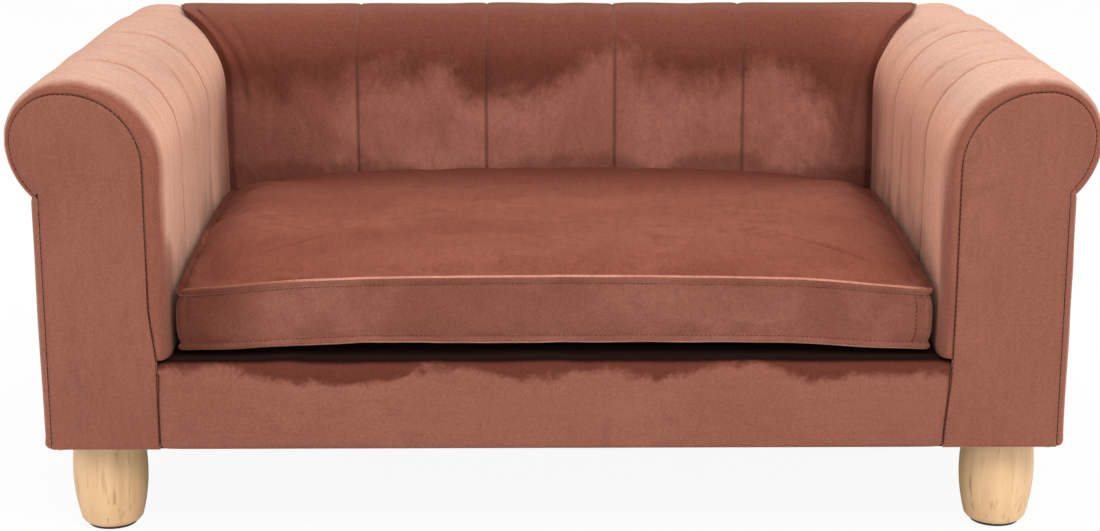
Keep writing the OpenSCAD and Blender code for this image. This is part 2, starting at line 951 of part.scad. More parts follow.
module t_nuts() {
    top = frame_z + block_h;
    color(zinc)
        at_legs()
            difference() {
                union() {
                    translate([0, 0, top - nut_barrel])
                        cylinder(r = bolt_d / 2 + nut_wall, h = nut_barrel + nut_flange_t);
                    translate([0, 0, top])
                        cylinder(d = nut_flange_d, h = nut_flange_t);
                }
                translate([0, 0, top - nut_barrel - over])
                    cylinder(r = bolt_d / 2, h = nut_barrel + nut_flange_t + 2 * over);
            }
}

module leg_glides() {
    color(black_cloth)
        at_legs()
            cylinder(d = glide_d, h = glide_t);
}

// One ring round the cushion at an inset and a height, its sides drawn in and its middles lifted
function cushion_ring(inset, z, arch) =
    let (
        hx = cushion_x - inset,
        hy = cushion_half_d - inset,
        r = min(cushion_corner_r + corner_growth_share * inset, corner_limit_share * hy),
        cx = hx - r,
        cy = hy - r,
        corner = function (sx, sy, start)
            [for (i = [0 : corner_steps])
                let (a = start + 90 * i / corner_steps)
                [sx * cx + r * cos(a), cushion_mid_y + sy * cy + r * sin(a), z]],
        side = function (steps, from, to, pull_x, pull_y)
            [for (i = [1 : steps - 1])
                let (s = i / steps, w = sin(180 * s))
                [
                    mix(from[0], to[0], s) + pull_x * side_pull * w,
                    cushion_mid_y + mix(from[1], to[1], s) + pull_y * side_pull * w,
                    z + arch * cushion_arch * w
                ]]
    )
    concat(
        corner(-1, -1, 180), side(long_side_steps, [-cx, -hy], [cx, -hy], 0, 1),
        corner(1, -1, 270), side(short_side_steps, [hx, -cy], [hx, cy], -1, 0),
        corner(1, 1, 0), side(long_side_steps, [cx, hy], [-cx, hy], 0, 0),
        corner(-1, 1, 90), side(short_side_steps, [-hx, cy], [-hx, -cy], 1, 0)
    );

// Top surface of the cushion at share s of its crown's run, lowered by drop
function crown_ring(s, drop) =
    let (rise = cushion_crown * (1 - pow(1 - s, crown_power)))
    cushion_ring(mix(flange_w, crown_run, s), cushion_top_z + rise - drop, 1 - s);

// Flange of the top: its edge, turned up, and the stitched valley behind it
function top_flange(drop) = [
    cushion_ring(0, cushion_top_z + flange_lift - drop, 1),
    cushion_ring(flange_w, cushion_top_z + flange_lift * valley_share - drop, 1)
];

module cushion_top_panel() {
    t = cushion_fabric_t;
    under = concat(top_flange(t), [for (s = crown_shares) crown_ring(s, t)]);
    upper = concat(top_flange(0), [for (s = crown_shares) crown_ring(s, 0)]);
    color(velvet)
        ring_solid(concat(reversed(under), upper));
}

module cushion_boxing() {
    t = cushion_fabric_t;
    wall = flange_w + boxing_dip;
    low = cushion_low_z + seat_gap;
    high = cushion_top_z + flange_lift - t - seat_gap;
    valley = high - flange_lift * (1 - valley_share);
    color(velvet)
        band_solid([
            cushion_ring(0, low, 0),
            cushion_ring(0, low + t, 0),
            cushion_ring(flange_w - t, low + t, 0),
            cushion_ring(wall, cushion_mid_z - zip_band, 0),
            cushion_ring(wall, cushion_mid_z + zip_band, 0),
            cushion_ring(flange_w - t, valley - t, 1),
            cushion_ring(0, high - t, 1),
            cushion_ring(0, high, 1),
            cushion_ring(flange_w, valley, 1),
            cushion_ring(wall + t, cushion_mid_z + zip_band, 0),
            cushion_ring(wall + t, cushion_mid_z - zip_band, 0),
            cushion_ring(flange_w, low, 0)
        ]);
}

module cushion_bottom_panel() {
    t = cushion_fabric_t;
    valley = cushion_low_z - flange_lift * valley_share;
    color(velvet_dark)
        ring_solid([
            cushion_ring(bottom_run, cover_z, 0),
            cushion_ring(flange_w, valley - t, 0),
            cushion_ring(0, cushion_low_z - t, 0),
            cushion_ring(0, cushion_low_z, 0),
            cushion_ring(flange_w, valley, 0),
            cushion_ring(bottom_run, cover_z + t, 0)
        ]);
}

module cushion_foam() {
    drop = cushion_fabric_t + foam_gap;
    wall = flange_w + boxing_dip + drop;
    shoulder = flange_w + wall;
    low_slope = (cushion_low_z - cover_z) * (bottom_run - shoulder) / (bottom_run - flange_w);
    color(cream_foam)
        ring_solid(concat(
            [
                cushion_ring(bottom_run, cover_z + drop, 0),
                cushion_ring(shoulder, cover_z + drop + low_slope, 0),
                cushion_ring(wall, cushion_mid_z - zip_band, 0),
                cushion_ring(wall, cushion_mid_z + zip_band, 0)
            ],
            [for (s = crown_shares) crown_ring(s, drop)]
        ));
}

module cushion_zip_tape() {
    color(black_cloth)
        block([-zip_len / 2, tape_y, cushion_mid_z - tape_w / 2],
              [zip_len / 2, tape_y + tape_t, cushion_mid_z + tape_w / 2]);
}

// Bar along the zip with round edges, at a thickness and width
module zip_bar(x_low, x_high, w, t) {
    translate([x_low, coil_y, cushion_mid_z])
        rotate([90, 0, 90])
            linear_extrude(x_high - x_low)
                union() {
                    square([t, w - t], center = true);
                    for (z = [-(w - t) / 2, (w - t) / 2])
                        translate([0, z])
                            circle(d = t);
                }
}

module cushion_zip_coil() {
    end_x = zip_len / 2;
    stop_w = coil_w + 2 * slider_wall;
    color(black_cloth) {
        zip_bar(stop_len - end_x, end_x - stop_len, coil_w, coil_t);
        zip_bar(-end_x, stop_len - end_x, stop_w, coil_t);
        zip_bar(end_x - stop_len, end_x, stop_w, coil_t);
    }
}

// Slider without a swinging pull: a channel over the coil with a bridge on it
module cushion_zip_slider() {
    inner_w = coil_w / 2 + seat_gap;
    outer_w = inner_w + slider_wall;
    low = tape_y + tape_t + seat_gap;
    roof = coil_y + coil_t / 2 + seat_gap;
    top = roof + slider_wall;
    leg_len = slider_len / 5;
    half = slider_len / 2;
    color(zinc)
        translate([slider_x, 0, cushion_mid_z]) {
            difference() {
                block([-half, low, -outer_w], [half, top, outer_w]);
                block([-half - over, low - over, -inner_w], [half + over, roof, inner_w]);
            }
            difference() {
                block([-half + leg_len / 2, top, -bridge_w / 2],
                      [half - leg_len / 2, top + bridge_h, bridge_w / 2]);
                block([-half + leg_len * 3 / 2, top - over, -bridge_w],
                      [half - leg_len * 3 / 2, top + bridge_h / 2, bridge_w]);
            }
        }
}

front_rail();
rear_rail();
left_side_rail();
right_side_rail();
seat_slats();
seat_deck();
corner_blocks();
left_front_scroll_board();
left_rear_scroll_board();
right_front_scroll_board();
right_rear_scroll_board();
left_roll_batten();
right_roll_batten();
left_notch_batten();
right_notch_batten();
left_seat_batten();
right_seat_batten();
back_posts();
back_top_rail();
back_board();
left_arm_wrap_card();
right_arm_wrap_card();
left_side_card();
right_side_card();
outside_back_card();
left_arm_foam();
right_arm_foam();
arm_front_pads();
back_foam();
back_top_foam();
base_front_foam();
left_arm_cover();
right_arm_cover();
left_front_panel();
right_front_panel();
left_rear_panel();
right_rear_panel();
left_side_cover();
right_side_cover();
back_cover();
outside_back_cover();
base_front_cover();
deck_lining();
dust_cover();
front_left_leg();
front_right_leg();
rear_left_leg();
rear_right_leg();
hanger_bolts();
t_nuts();
leg_glides();
cushion_foam();
cushion_top_panel();
cushion_boxing();
cushion_bottom_panel();
cushion_zip_tape();
cushion_zip_coil();
cushion_zip_slider();
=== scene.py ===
"""Dog sofa bed: its looks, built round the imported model. Lengths are in millimetres until a mesh is made."""
import math
import random

import bmesh
import bpy
import numpy as np
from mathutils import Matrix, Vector, noise
from mathutils.geometry import delaunay_2d_cdt


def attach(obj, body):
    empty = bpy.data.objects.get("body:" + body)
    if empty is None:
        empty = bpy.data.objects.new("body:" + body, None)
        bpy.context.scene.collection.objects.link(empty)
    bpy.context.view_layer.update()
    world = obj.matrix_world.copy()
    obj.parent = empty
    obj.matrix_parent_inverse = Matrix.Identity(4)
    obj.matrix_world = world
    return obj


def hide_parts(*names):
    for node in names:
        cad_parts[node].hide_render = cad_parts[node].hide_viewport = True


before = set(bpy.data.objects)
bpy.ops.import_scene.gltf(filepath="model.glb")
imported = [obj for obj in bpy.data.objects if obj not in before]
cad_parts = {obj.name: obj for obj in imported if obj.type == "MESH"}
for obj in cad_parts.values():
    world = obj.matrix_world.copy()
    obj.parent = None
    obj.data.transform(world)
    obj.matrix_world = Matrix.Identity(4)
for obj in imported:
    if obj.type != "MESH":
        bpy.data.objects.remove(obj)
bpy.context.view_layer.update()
MM = 0.001

# The sofa's main lengths, as in part.scad
SOFA_D, SOFA_H, ARM_FALL = 430.0, 310.0, 10.0
FRONT, REAR, FACE = -215.0, 215.0, 128.0
SEAT_X, SIDE_X = 250.0, 334.0
ROLL_IN_R, ROLL_OUT_R, ROLL_LOW_R = 58.0, 38.0, 55.0
ROLL_IN_X, ROLL_OUT_X, ROLL_LOW_X = 308.0, 312.0, 295.0
NOTCH = math.acos((SIDE_X - ROLL_LOW_X) / ROLL_LOW_R)
SEAM_FRONT, SEAM_REAR = FRONT + 100, FRONT + 238
COVER_Z, HEM_Z, SEAT_Z = 126.3, 65.5, 126.0
BACK_H, BACK_FRONT_R, BACK_REAR_R = 299.0, 40.0, 20.0
BACK_ARC_Z, BACK_REAR_Z, BACK_REAR_Y = 259.0, 279.0, 195.0
BACK_HEM_Z, BACK_X = 262.0, 252.2
BASE_X = 258.0
ARM_SEAMS, BACK_SEAMS = (SEAM_FRONT, SEAM_REAR), (-150.0, -50.0, 50.0, 150.0)
HEM_R, UNDER_Z = 4.0, HEM_Z + 0.1      # the covers' turn under the base: its radius and its underside
BASE_SLANT = 4.0                       # how far the right front seam runs in at its foot, as in the photo


WORDS = {1: "right", -1: "left"}
# The arms' ends: how far from the front and rear they start, and how long their front and rear rounding is
END_GAP, FRONT_ROUND, REAR_ROUND = 2.0, 16.0, 14.0


# ------------------------------------------------------------------ helpers
def arm_top(y):
    """Height of an arm's roll at y: it falls to the rear."""
    return SOFA_H - ARM_FALL * (y - FRONT) / SOFA_D


def smooth(x, a, b):
    """0 below a, 1 above b, smooth between."""
    t = np.clip((np.asarray(x, float) - a) / (b - a), 0, 1)
    return t * t * (3 - 2 * t)


def noise_at(points, scale, seed):
    """Smooth noise from -1 to 1 at points given in mm, features about 1 / scale mm long."""
    flat = np.asarray(points, float).reshape(-1, 3)
    off = Vector((seed * 17.3, seed * 7.1, seed * 3.7))
    out = [noise.noise(Vector(p) * scale + off) for p in flat]
    return np.array(out).reshape(np.asarray(points).shape[:-1])


def stack(*xyz):
    """Points from their x, y and z, each of any shape that fits the others."""
    return np.stack(np.broadcast_arrays(*xyz), axis=-1)


def add_object(name, data):
    obj = bpy.data.objects.new(name, data)
    bpy.context.scene.collection.objects.link(obj)
    return obj


def new_mesh(name, verts, faces):
    """A mesh from points in mm."""
    mesh = bpy.data.meshes.new(name)
    mesh.from_pydata([tuple(v) for v in np.asarray(verts, float) * MM], [], [tuple(f) for f in faces])
    mesh.update()
    return mesh


def make(name, verts, faces, body, slot, mat, replaces=(), fill=None):
    """A mesh piece from points in mm. fill is how full its padding is; it is not used."""
    obj = add_object(name, new_mesh(name, verts, faces))
    obj.data.validate()
    obj.data.polygons.foreach_set("use_smooth", [True] * len(obj.data.polygons))
    obj.data.materials.append(mat)
    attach(obj, body)
    if replaces:
        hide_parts(*replaces)
    return obj


def grid_faces(rows, cols, start=0, flip=False, wrap=False):
    """The quads of a grid whose points start at a number; wrap joins its last column to its first."""
    out = []
    for i in range(rows - 1):
        for j in range(cols if wrap else cols - 1):
            a = start + i * cols + j
            b = start + i * cols + (j + 1) % cols
            quad = (a, b, b + cols, a + cols)
            out.append(quad[::-1] if flip else quad)
    return out


def shell(outer, inner, flip=False):
    """Closed skin between two grids of the same rows and columns."""
    rows, cols = outer.shape[:2]
    n = rows * cols
    verts = np.concatenate([outer.reshape(-1, 3), inner.reshape(-1, 3)])
    faces = grid_faces(rows, cols, 0, flip) + grid_faces(rows, cols, n, not flip)
    rim = [i * cols for i in range(rows)] + [(rows - 1) * cols + j for j in range(1, cols)]
    rim += [i * cols + cols - 1 for i in range(rows - 2, -1, -1)] + [j for j in range(cols - 2, 0, -1)]
    for k, a in enumerate(rim):
        b = rim[(k + 1) % len(rim)]
        quad = (a, b, b + n, a + n)
        faces.append(quad[::-1] if flip else quad)
    return verts, faces


def make_skin(name, outer, inner, slot, mat, replaces, fill=None, flip=False):
    """A closed skin between two grids, on the sofa."""
    verts, faces = shell(outer, inner, flip)
    return make(name, verts, faces, "sofa", slot, mat, replaces, fill)


def grid_normals(g):
    n = np.cross(np.gradient(g, axis=1), np.gradient(g, axis=0))
    return n / np.maximum(np.linalg.norm(n, axis=2, keepdims=True), 1e-9)


def near(values, places, width):
    """Sum of sharp bumps of that width at the places."""
    v = np.asarray(values, float)
    return sum(np.exp(-np.abs(v - p) / width) for p in places)


def soft_near(values, places, width):
    """Sum of round bumps of that width at the places."""
    v = np.asarray(values, float)
    return sum(np.exp(-((v - p) / width) ** 2) for p in places)


def stations(lo, hi, seams, step, fine=(0, 0.5, 1.1, 2, 3.4, 5.5, 8.5), extra=()):
    """Places from lo to hi, close together beside each seam."""
    out = {round(lo, 3), round(hi, 3)} | {round(float(v), 3) for v in extra}
    for s in seams:
        for f in fine:
            for v in (s - f, s + f):
                if lo <= v <= hi:
                    out.add(round(v, 3))
    out = sorted(out)
    full = []
    for a, b in zip(out, out[1:]):
        n = max(1, int(math.ceil((b - a) / step)))
        full += [a + (b - a) * i / n for i in range(n)]
    return np.array(full + [out[-1]])


def arc(cy, cz, r, start, end, n):
    """Places on an arc, from one angle in degrees to another, as (y, z, normal y, normal z)."""
    turns = [math.radians(a) for a in np.linspace(start, end, n)]
    return [(cy + r * math.cos(t), cz + r * math.sin(t), math.cos(t), math.sin(t)) for t in turns]


def turn_under(r, hems, n):
    """A cover's turn under the base, from its hem to the foot of its wall, as columns: how far in, how far up."""
    rows = [(r + hem, 0.0) for hem in hems] + [(r * (1 - ny), r * (1 - nz)) for _, _, ny, nz in arc(0, 0, 1, 90, 0, n)]
    return np.array(rows).T[:, :, None]


def fold(z, side):
    """How far the base's front seam runs in at height z, on the right only."""
    return BASE_SLANT * (1 - float(smooth(z, HEM_Z, COVER_Z))) if side > 0 else 0


# ------------------------------------------------------------------ materials
def node_tree(name):
    mat = bpy.data.materials.new(name)
    mat.use_nodes = True
    nt = mat.node_tree
    return mat, nt, nt.nodes["Principled BSDF"]


def plug(nt, socket, value):
    """Gives a socket a number or a colour, or links another node's output to it."""
    if isinstance(value, bpy.types.NodeSocket):
        nt.links.new(value, socket)
    else:
        socket.default_value = (*value, 1) if socket.type == "RGBA" else value


def node(nt, kind, inputs=()):
    """A new shader node. inputs has a value or another node's output by each socket's name or number."""
    new = nt.nodes.new("ShaderNode" + kind)
    for key, value in dict(inputs).items():
        plug(nt, new.inputs[key], value)
    return new


def tex_coord(nt, scale=(1, 1, 1), offset=(0, 0, 0)):
    """The object's own coordinates, scaled and moved."""
    place = node(nt, "TexCoord").outputs["Object"]
    return node(nt, "Mapping", {"Vector": place, "Location": offset, "Scale": scale}).outputs["Vector"]


def noise_node(nt, vec, scale, detail=3.0, rough=0.55, distortion=0.0):
    return node(nt, "TexNoise", {"Vector": vec, "Scale": scale, "Detail": detail, "Roughness": rough,
                                 "Distortion": distortion}).outputs["Fac"]


def ramp(nt, fac, stops):
    r = node(nt, "ValToRGB", {"Fac": fac})
    for e, (place, grey) in zip(r.color_ramp.elements, stops):
        e.position = place
        e.color = (grey, grey, grey, 1)
    return r.outputs["Color"]


def mix(nt, fac, a, b, mode="MIX"):
    m = nt.nodes.new("ShaderNodeMix")
    m.data_type = "RGBA"
    m.blend_type = mode
    for number, value in ((0, fac), (6, a), (7, b)):
        plug(nt, m.inputs[number], value)
    return m.outputs[2]


def math_node(nt, op, a, b):
    m = node(nt, "Math", {0: a, 1: b})
    m.operation = op
    return m.outputs[0]


def map_range(nt, value, lo, hi, to_lo=0.0, to_hi=1.0, way="LINEAR"):
    mr = node(nt, "MapRange", {"Value": value, "From Min": lo, "From Max": hi, "To Min": to_lo, "To Max": to_hi})
    mr.interpolation_type = way
    return mr.outputs["Result"]


def between(nt, value, lo, hi):
    """0 at lo, 1 at hi, smooth between; lo may be above hi."""
    return map_range(nt, value, lo, hi, way="SMOOTHSTEP")


def add_bump(nt, bsdf, height, strength, distance, previous=None):
    inputs = {"Height": height, "Strength": strength, "Distance": distance}
    if previous:
        inputs["Normal"] = previous
    normal = node(nt, "Bump", inputs).outputs["Normal"]
    nt.links.new(normal, bsdf.inputs["Normal"])
    return normal


def surface(nt, bsdf, **values):
    """Sets the shader's own values: words in the names are joined by _."""
    for key, value in values.items():
        plug(nt, bsdf.inputs[key.replace("_", " ")], value)


def velvet(name, base, dark, light, edge, edge_share, sheen=0.25, patch=7.0, stretch=(1, 1, 1), contrast=1.0,
           bands=(), seed=0.0, crush=0.3, seams=(), streaks=None, streak_share=0.3, edge_up=None, late=(),
           seam_share=0.7):
    """Short-napped velvet: brushed patches of the nap, a fine grain of fibres, and a sheen at grazing angles.

    bands are (axis, from, to, colour, strength, wobble, (axis, from, to) ...): an area darker or lighter
    beyond places in metres, with a ragged edge: some are nap brushed the other way, some are painted shade.
    seams are (axis, place): a sewn line where the nap is pressed down. streaks stretches fine brush lines along
    the cloth. edge_up is (from, to, colour): the painted sheen's colour higher up. late bands are painted shade
    that lies over the sheen's colour too.
    """
    mat, nt, bsdf = node_tree(name)

    def add(a, b):
        return math_node(nt, "ADD", a, b)

    def times(a, b):
        return math_node(nt, "MULTIPLY", a, b)

    off = node(nt, "VectorMath", {0: tex_coord(nt, stretch), 1: (seed, seed * 0.7, seed * 1.3)})
    off.operation = "ADD"
    vec = off.outputs[0]
    broad = noise_node(nt, vec, patch, 4.0, 0.6, 0.5)
    small = noise_node(nt, vec, patch * 6.0, 4.0, 0.65, 1.5)
    ragged = noise_node(nt, vec, 75.0, 4.0, 0.7, 1.0)
    place = node(nt, "SeparateXYZ", {0: node(nt, "TexCoord").outputs["Object"]}).outputs
    rough = add(add(broad, -0.5), times(add(ragged, -0.5), 0.22))

    # Lays bands over the colour: nap brushed the other way, and painted shade
    def brushed(col, group):
        for axis, lo, hi, colour, strength, wobble, *within in group:
            share = strength
            for ax, a, b in [(axis, lo, hi)] + within:
                share = times(between(nt, add(place[ax], times(rough, wobble)), a, b), share)
            col = mix(nt, share, col, colour)
        return col

    def darker(share):
        return tuple(c * share for c in base)

    # The nap's patches, its crush marks, and the bands: areas brushed the other way and painted shade
    col = mix(nt, ramp(nt, broad, [(0.40, 0.0), (0.60, 1.0)]), dark, light)
    col = mix(nt, 1 - contrast, col, base)
    marks = ramp(nt, times(small, add(broad, 0.45)), [(0.50, 0.0), (0.66, 1.0)])
    col = brushed(mix(nt, times(marks, crush), col, darker(0.60)), bands)
    # The painted sheen where the cloth turns away, and the late bands of painted shade over it
    facing = node(nt, "LayerWeight", {"Blend": 0.5}).outputs["Facing"]
    turned = ramp(nt, add(facing, times(rough, 0.45)), [(0.28, 0.0), (0.82, 1.0)])
    if edge_up:
        edge = mix(nt, between(nt, place["Z"], edge_up[0], edge_up[1]), edge, edge_up[2])
    col = brushed(mix(nt, times(turned, edge_share), col, edge), late)
    # Brush lines, sewn lines and fibres
    if streaks:
        lines = noise_node(nt, tex_coord(nt, streaks), 260.0, 3.0, 0.7)
        col = mix(nt, streak_share, col, ramp(nt, lines, [(0.34, 0.62), (0.60, 1.0)]), "MULTIPLY")
    for axis, at in seams:
        gap = math_node(nt, "ABSOLUTE", add(place[axis], -at), 0.0)
        col = mix(nt, times(between(nt, gap, 0.0022, 0.0004), seam_share), col, darker(0.42))
    fibre = noise_node(nt, tex_coord(nt), 1150.0, 1.0, 0.5)
    grain = noise_node(nt, tex_coord(nt), 480.0, 2.0, 0.7)
    col = mix(nt, 0.5, col, ramp(nt, fibre, [(0.3, 0.55), (0.7, 1.0)]), "MULTIPLY")
    col = mix(nt, 0.5, col, ramp(nt, grain, [(0.32, 0.70), (0.68, 1.0)]), "MULTIPLY")
    surface(nt, bsdf, Base_Color=col, Roughness=0.95, Specular_IOR_Level=0.05, Sheen_Weight=sheen,
            Sheen_Roughness=0.4, Sheen_Tint=(1.0, 0.66, 0.52))
    normal = add_bump(nt, bsdf, fibre, 0.35, 0.0004)
    add_bump(nt, bsdf, small, 0.30, 0.0014, normal)
    return mat


# the painted sheen's colour, where the cloth turns away from the view
EDGE = (0.79, 0.45, 0.33)
UNSHEENED_NAP = (0.33, 0.112, 0.073)       # the arms' cloth brushed the dark way, without the painted sheen laid on the rest of the arm
# painted shade along the cushion top's sides, by the arms
SEAT_SIDE_SHADE = (0.09, 0.024, 0.015)
UPRIGHT, ACROSS, INWARDS = (1.0, 1.0, 0.12), (0.12, 1.0, 1.0), (1.0, 0.12, 1.0)

M = {}
# For each arm: the sheen's colour low and high on it, and the heights that its front end's shade fades over
for side, word, low, high, ends in (
        (-1, "left", (1.0, 0.58, 0.42), (0.73, 0.445, 0.33), ("Z", 0.205, 0.160)),
        (1, "right", (1.0, 0.50, 0.345), (0.82, 0.52, 0.395), ("Z", 0.285, 0.240))):
    # The arms' own colour is lighter than the panels': nap laid the light way and painted sheen
    M["arm", side] = velvet(
        "velvet_arm_painted_sheen_" + word, (0.64, 0.305, 0.215), (0.57, 0.262, 0.182), (0.70, 0.345, 0.248), low, 0.8, 0.10,
        9.0, (1.2, 1.2, 0.5), seed=1.0 + side * 0.3, seams=[("Y", y * MM) for y in ARM_SEAMS], seam_share=0.6,
        streaks=(0.10, 1.0, 0.10), streak_share=0.32, edge_up=(0.266, 0.300, high),
        # The ends and the outside keep the darker cloth, without the painted sheen
        bands=(("Y", -0.196, -0.207, UNSHEENED_NAP, 1.0, 0.02), ("Y", 0.198, 0.209, UNSHEENED_NAP, 1.0, 0.02),
               ("X", side * 0.322, side * 0.344, UNSHEENED_NAP, 1.0, 0.03)),
        # Painted shade: by the back, on the front of the face low down, and low on the face by the cushion
        late=(("Y", 0.040, 0.100, (0.38, 0.145, 0.098), 0.85, 0.10, ("Z", 0.268, 0.222)),
              ("Y", -0.176, -0.206, (0.345, 0.122, 0.082), 0.9, 0.05, ends),
              ("Z", 0.195, 0.168, (0.30, 0.105, 0.070), 0.5, 0.10)))
M["panel"] = velvet(
    "velvet_panel", (0.335, 0.123, 0.085), (0.305, 0.110, 0.075), (0.36, 0.137, 0.095), EDGE, 0.5, 0.1, 6.0,
    (1, 1, 0.6), 0.8, seed=2.0, crush=0.25, streaks=UPRIGHT, streak_share=0.16)
M["side"] = velvet(
    "velvet_side", (0.37, 0.143, 0.10), (0.33, 0.122, 0.084), (0.41, 0.165, 0.118), EDGE, 0.5, 0.12, 6.0,
    (1, 1, 0.6), 0.8, seed=3.0, crush=0.25, streaks=UPRIGHT, streak_share=0.16)
M["back"] = velvet(
    "velvet_back", (0.54, 0.213, 0.155), (0.43, 0.160, 0.113), (0.61, 0.246, 0.181), EDGE, 0.06, 0.04, 9.0,
    (1.3, 1, 0.9), 0.75, seed=4.0, crush=0.38, streaks=UPRIGHT, streak_share=0.2,
    seams=[("X", x * MM) for x in BACK_SEAMS], seam_share=0.5,
    bands=(("Z", 0.224, 0.262, (0.19, 0.055, 0.034), 0.95, 0.13),
           ("X", -0.142, -0.180, (0.235, 0.072, 0.046), 0.5, 0.10),
           ("X", 0.205, 0.245, (0.28, 0.09, 0.06), 0.6, 0.06),
           # painted shade along the foot of the back, by the cushion
           ("Z", 0.190, 0.176, (0.18, 0.052, 0.033), 0.5, 0.06)))
M["seat"] = velvet(
    "velvet_seat", (0.275, 0.083, 0.052), (0.235, 0.068, 0.042), (0.315, 0.102, 0.066), EDGE, 0.02, 0.02, 6.5,
    (1, 1.6, 1), 0.75, seed=5.0, crush=0.4, streaks=INWARDS, streak_share=0.25,
    # Painted shade on the cushion's top: darker towards the arms, towards the rear by the back, and darkest along its
    # sides
    bands=(("X", -0.18, -0.25, (0.16, 0.046, 0.029), 0.5, 0.06),
           ("X", 0.19, 0.25, (0.15, 0.043, 0.027), 0.45, 0.06),
           ("Y", -0.05, 0.088, (0.118, 0.024, 0.014), 0.95, 0.08),
           ("X", -0.234, -0.245, SEAT_SIDE_SHADE, 0.8, 0.03),
           ("X", 0.234, 0.245, SEAT_SIDE_SHADE, 0.8, 0.03)))
# The boxing darkens towards its left end: painted shade
M["boxing"] = velvet(
    "velvet_boxing", (0.29, 0.106, 0.072), (0.25, 0.088, 0.059), (0.335, 0.128, 0.090), EDGE, 0.35, 0.1, 10.0,
    (1, 1, 1.4), 0.9, seed=6.0, crush=0.22, bands=(("X", -0.17, -0.242, (0.14, 0.040, 0.025), 0.9, 0.035),))
# The flanges' ridges: a painted highlight, much lighter than the boxing, its bands shading it off at both ends
M["ridge"] = velvet(
    "velvet_ridge_highlight", (0.62, 0.27, 0.195), (0.54, 0.22, 0.155), (0.70, 0.32, 0.235), EDGE, 0.45, 0.12, 12.0,
    contrast=0.9, seed=8.0,
    bands=(("X", -0.150, -0.232, (0.20, 0.062, 0.040), 1.0, 0.05),
           ("X", 0.225, 0.240, (0.34, 0.125, 0.085), 1.0, 0.02)))
M["base"] = velvet(
    "velvet_base", (0.345, 0.130, 0.090), (0.315, 0.115, 0.079), (0.375, 0.146, 0.102), EDGE, 0.06, 0.05, 8.0,
    (0.8, 1, 1), 0.8, seed=7.0, crush=0.28, streaks=ACROSS, streak_share=0.16,
    # The top edge is darker: crushed nap and painted shade under the cushion
    bands=(("Z", 0.109, 0.1165, (0.135, 0.033, 0.020), 0.9, 0.07),),
    # A near-black strip at the top of the front: painted shadow of the gap under the cushion
    late=(("Y", -0.2108, -0.2070, (0.012, 0.004, 0.003), 0.97, 0.004, ("Z", 0.116, 0.121)),))


def plain(name, colour, dark, scale, stretch, rough, bump=0.2, dist=0.0004, metallic=0.0, shine=0.5):
    mat, nt, bsdf = node_tree(name)
    fac = noise_node(nt, tex_coord(nt, stretch), scale, 4.0, 0.6)
    surface(nt, bsdf, Base_Color=mix(nt, ramp(nt, fac, [(0.3, 0.0), (0.7, 1.0)]), dark, colour),
            Roughness=rough, Metallic=metallic, Specular_IOR_Level=shine)
    add_bump(nt, bsdf, fac, bump, dist)
    return mat


def wood(name, pale, mid, dark, along="Z", rings=26.0, rough=0.45, coat=0.0, offset=(0, 0, 0)):
    """Wood whose grain runs along one axis, with growth rings, pores and short dark flecks."""
    mat, nt, bsdf = node_tree(name)
    vec = tex_coord(nt, {"X": (0.06, 1, 1), "Y": (1, 0.06, 1), "Z": (1, 1, 0.06)}[along], offset)
    warp = noise_node(nt, vec, 9.0, 3.0, 0.55, 0.4)
    w = node(nt, "TexWave", {"Vector": vec, "Scale": rings, "Distortion": 7.0, "Detail": 2.5, "Detail Scale": 1.1})
    w.bands_direction = "X" if along != "X" else "Y"
    col = mix(nt, ramp(nt, warp, [(0.3, 0.0), (0.7, 1.0)]), pale, mid)
    col = mix(nt, math_node(nt, "MULTIPLY", w.outputs["Fac"], 0.38), col, mid)
    streak = noise_node(nt, vec, 70.0, 3.0, 0.7)
    col = mix(nt, ramp(nt, streak, [(0.52, 0.0), (0.72, 0.55)]), col, dark)
    pores = noise_node(nt, vec, 340.0, 2.0, 0.6)
    col = mix(nt, ramp(nt, pores, [(0.60, 0.0), (0.74, 0.6)]), col, tuple(c * 0.6 for c in dark))
    surface(nt, bsdf, Base_Color=col, Roughness=rough, Coat_Weight=coat, Coat_Roughness=0.3)
    nrm = add_bump(nt, bsdf, streak, 0.12, 0.0004)
    add_bump(nt, bsdf, pores, 0.15, 0.0003, nrm)
    return mat


M["leg"] = [wood("leg_wood_%d" % i, (0.88, 0.595, 0.33), (0.76, 0.46, 0.225), (0.50, 0.27, 0.11), "Z", 22.0,
                 0.5, 0.12, (i * 0.37, i * 0.21, i * 0.5)) for i in range(4)]
for key, name, along in (("pine", "pine", "X"), ("pine_y", "pine_side", "Y")):
    M[key] = wood(name, (0.80, 0.62, 0.38), (0.70, 0.50, 0.28), (0.50, 0.32, 0.15), along, 14.0, 0.7)
M["ply"] = wood("plywood", (0.74, 0.58, 0.38), (0.64, 0.47, 0.28), (0.44, 0.30, 0.16), "Z", 9.0, 0.75)
M["card"] = plain("upholstery_card", (0.46, 0.34, 0.22), (0.36, 0.26, 0.16), 240, (1, 1, 1), 0.9)
M["cloth"] = plain("black_nonwoven", (0.022, 0.022, 0.024), (0.008, 0.008, 0.009), 600, (1, 1, 0.4), 0.9, 0.4)
M["tape"] = plain("zip_tape", (0.20, 0.075, 0.052), (0.13, 0.048, 0.033), 900, (1, 1, 0.3), 0.85, 0.4)
M["zinc"] = plain("zinc_plate", (0.62, 0.63, 0.65), (0.45, 0.46, 0.48), 300, (1, 1, 1), 0.35, 0.05, 0.0002, 1.0)
M["nylon"] = plain("nylon", (0.035, 0.033, 0.032), (0.02, 0.019, 0.018), 300, (1, 1, 1), 0.5, 0.1)
M["thread"] = plain("sewing_thread", (0.105, 0.020, 0.010), (0.060, 0.011, 0.006), 2500, (1, 1, 1), 0.9, 0.3,
                    0.0001, shine=0.1)

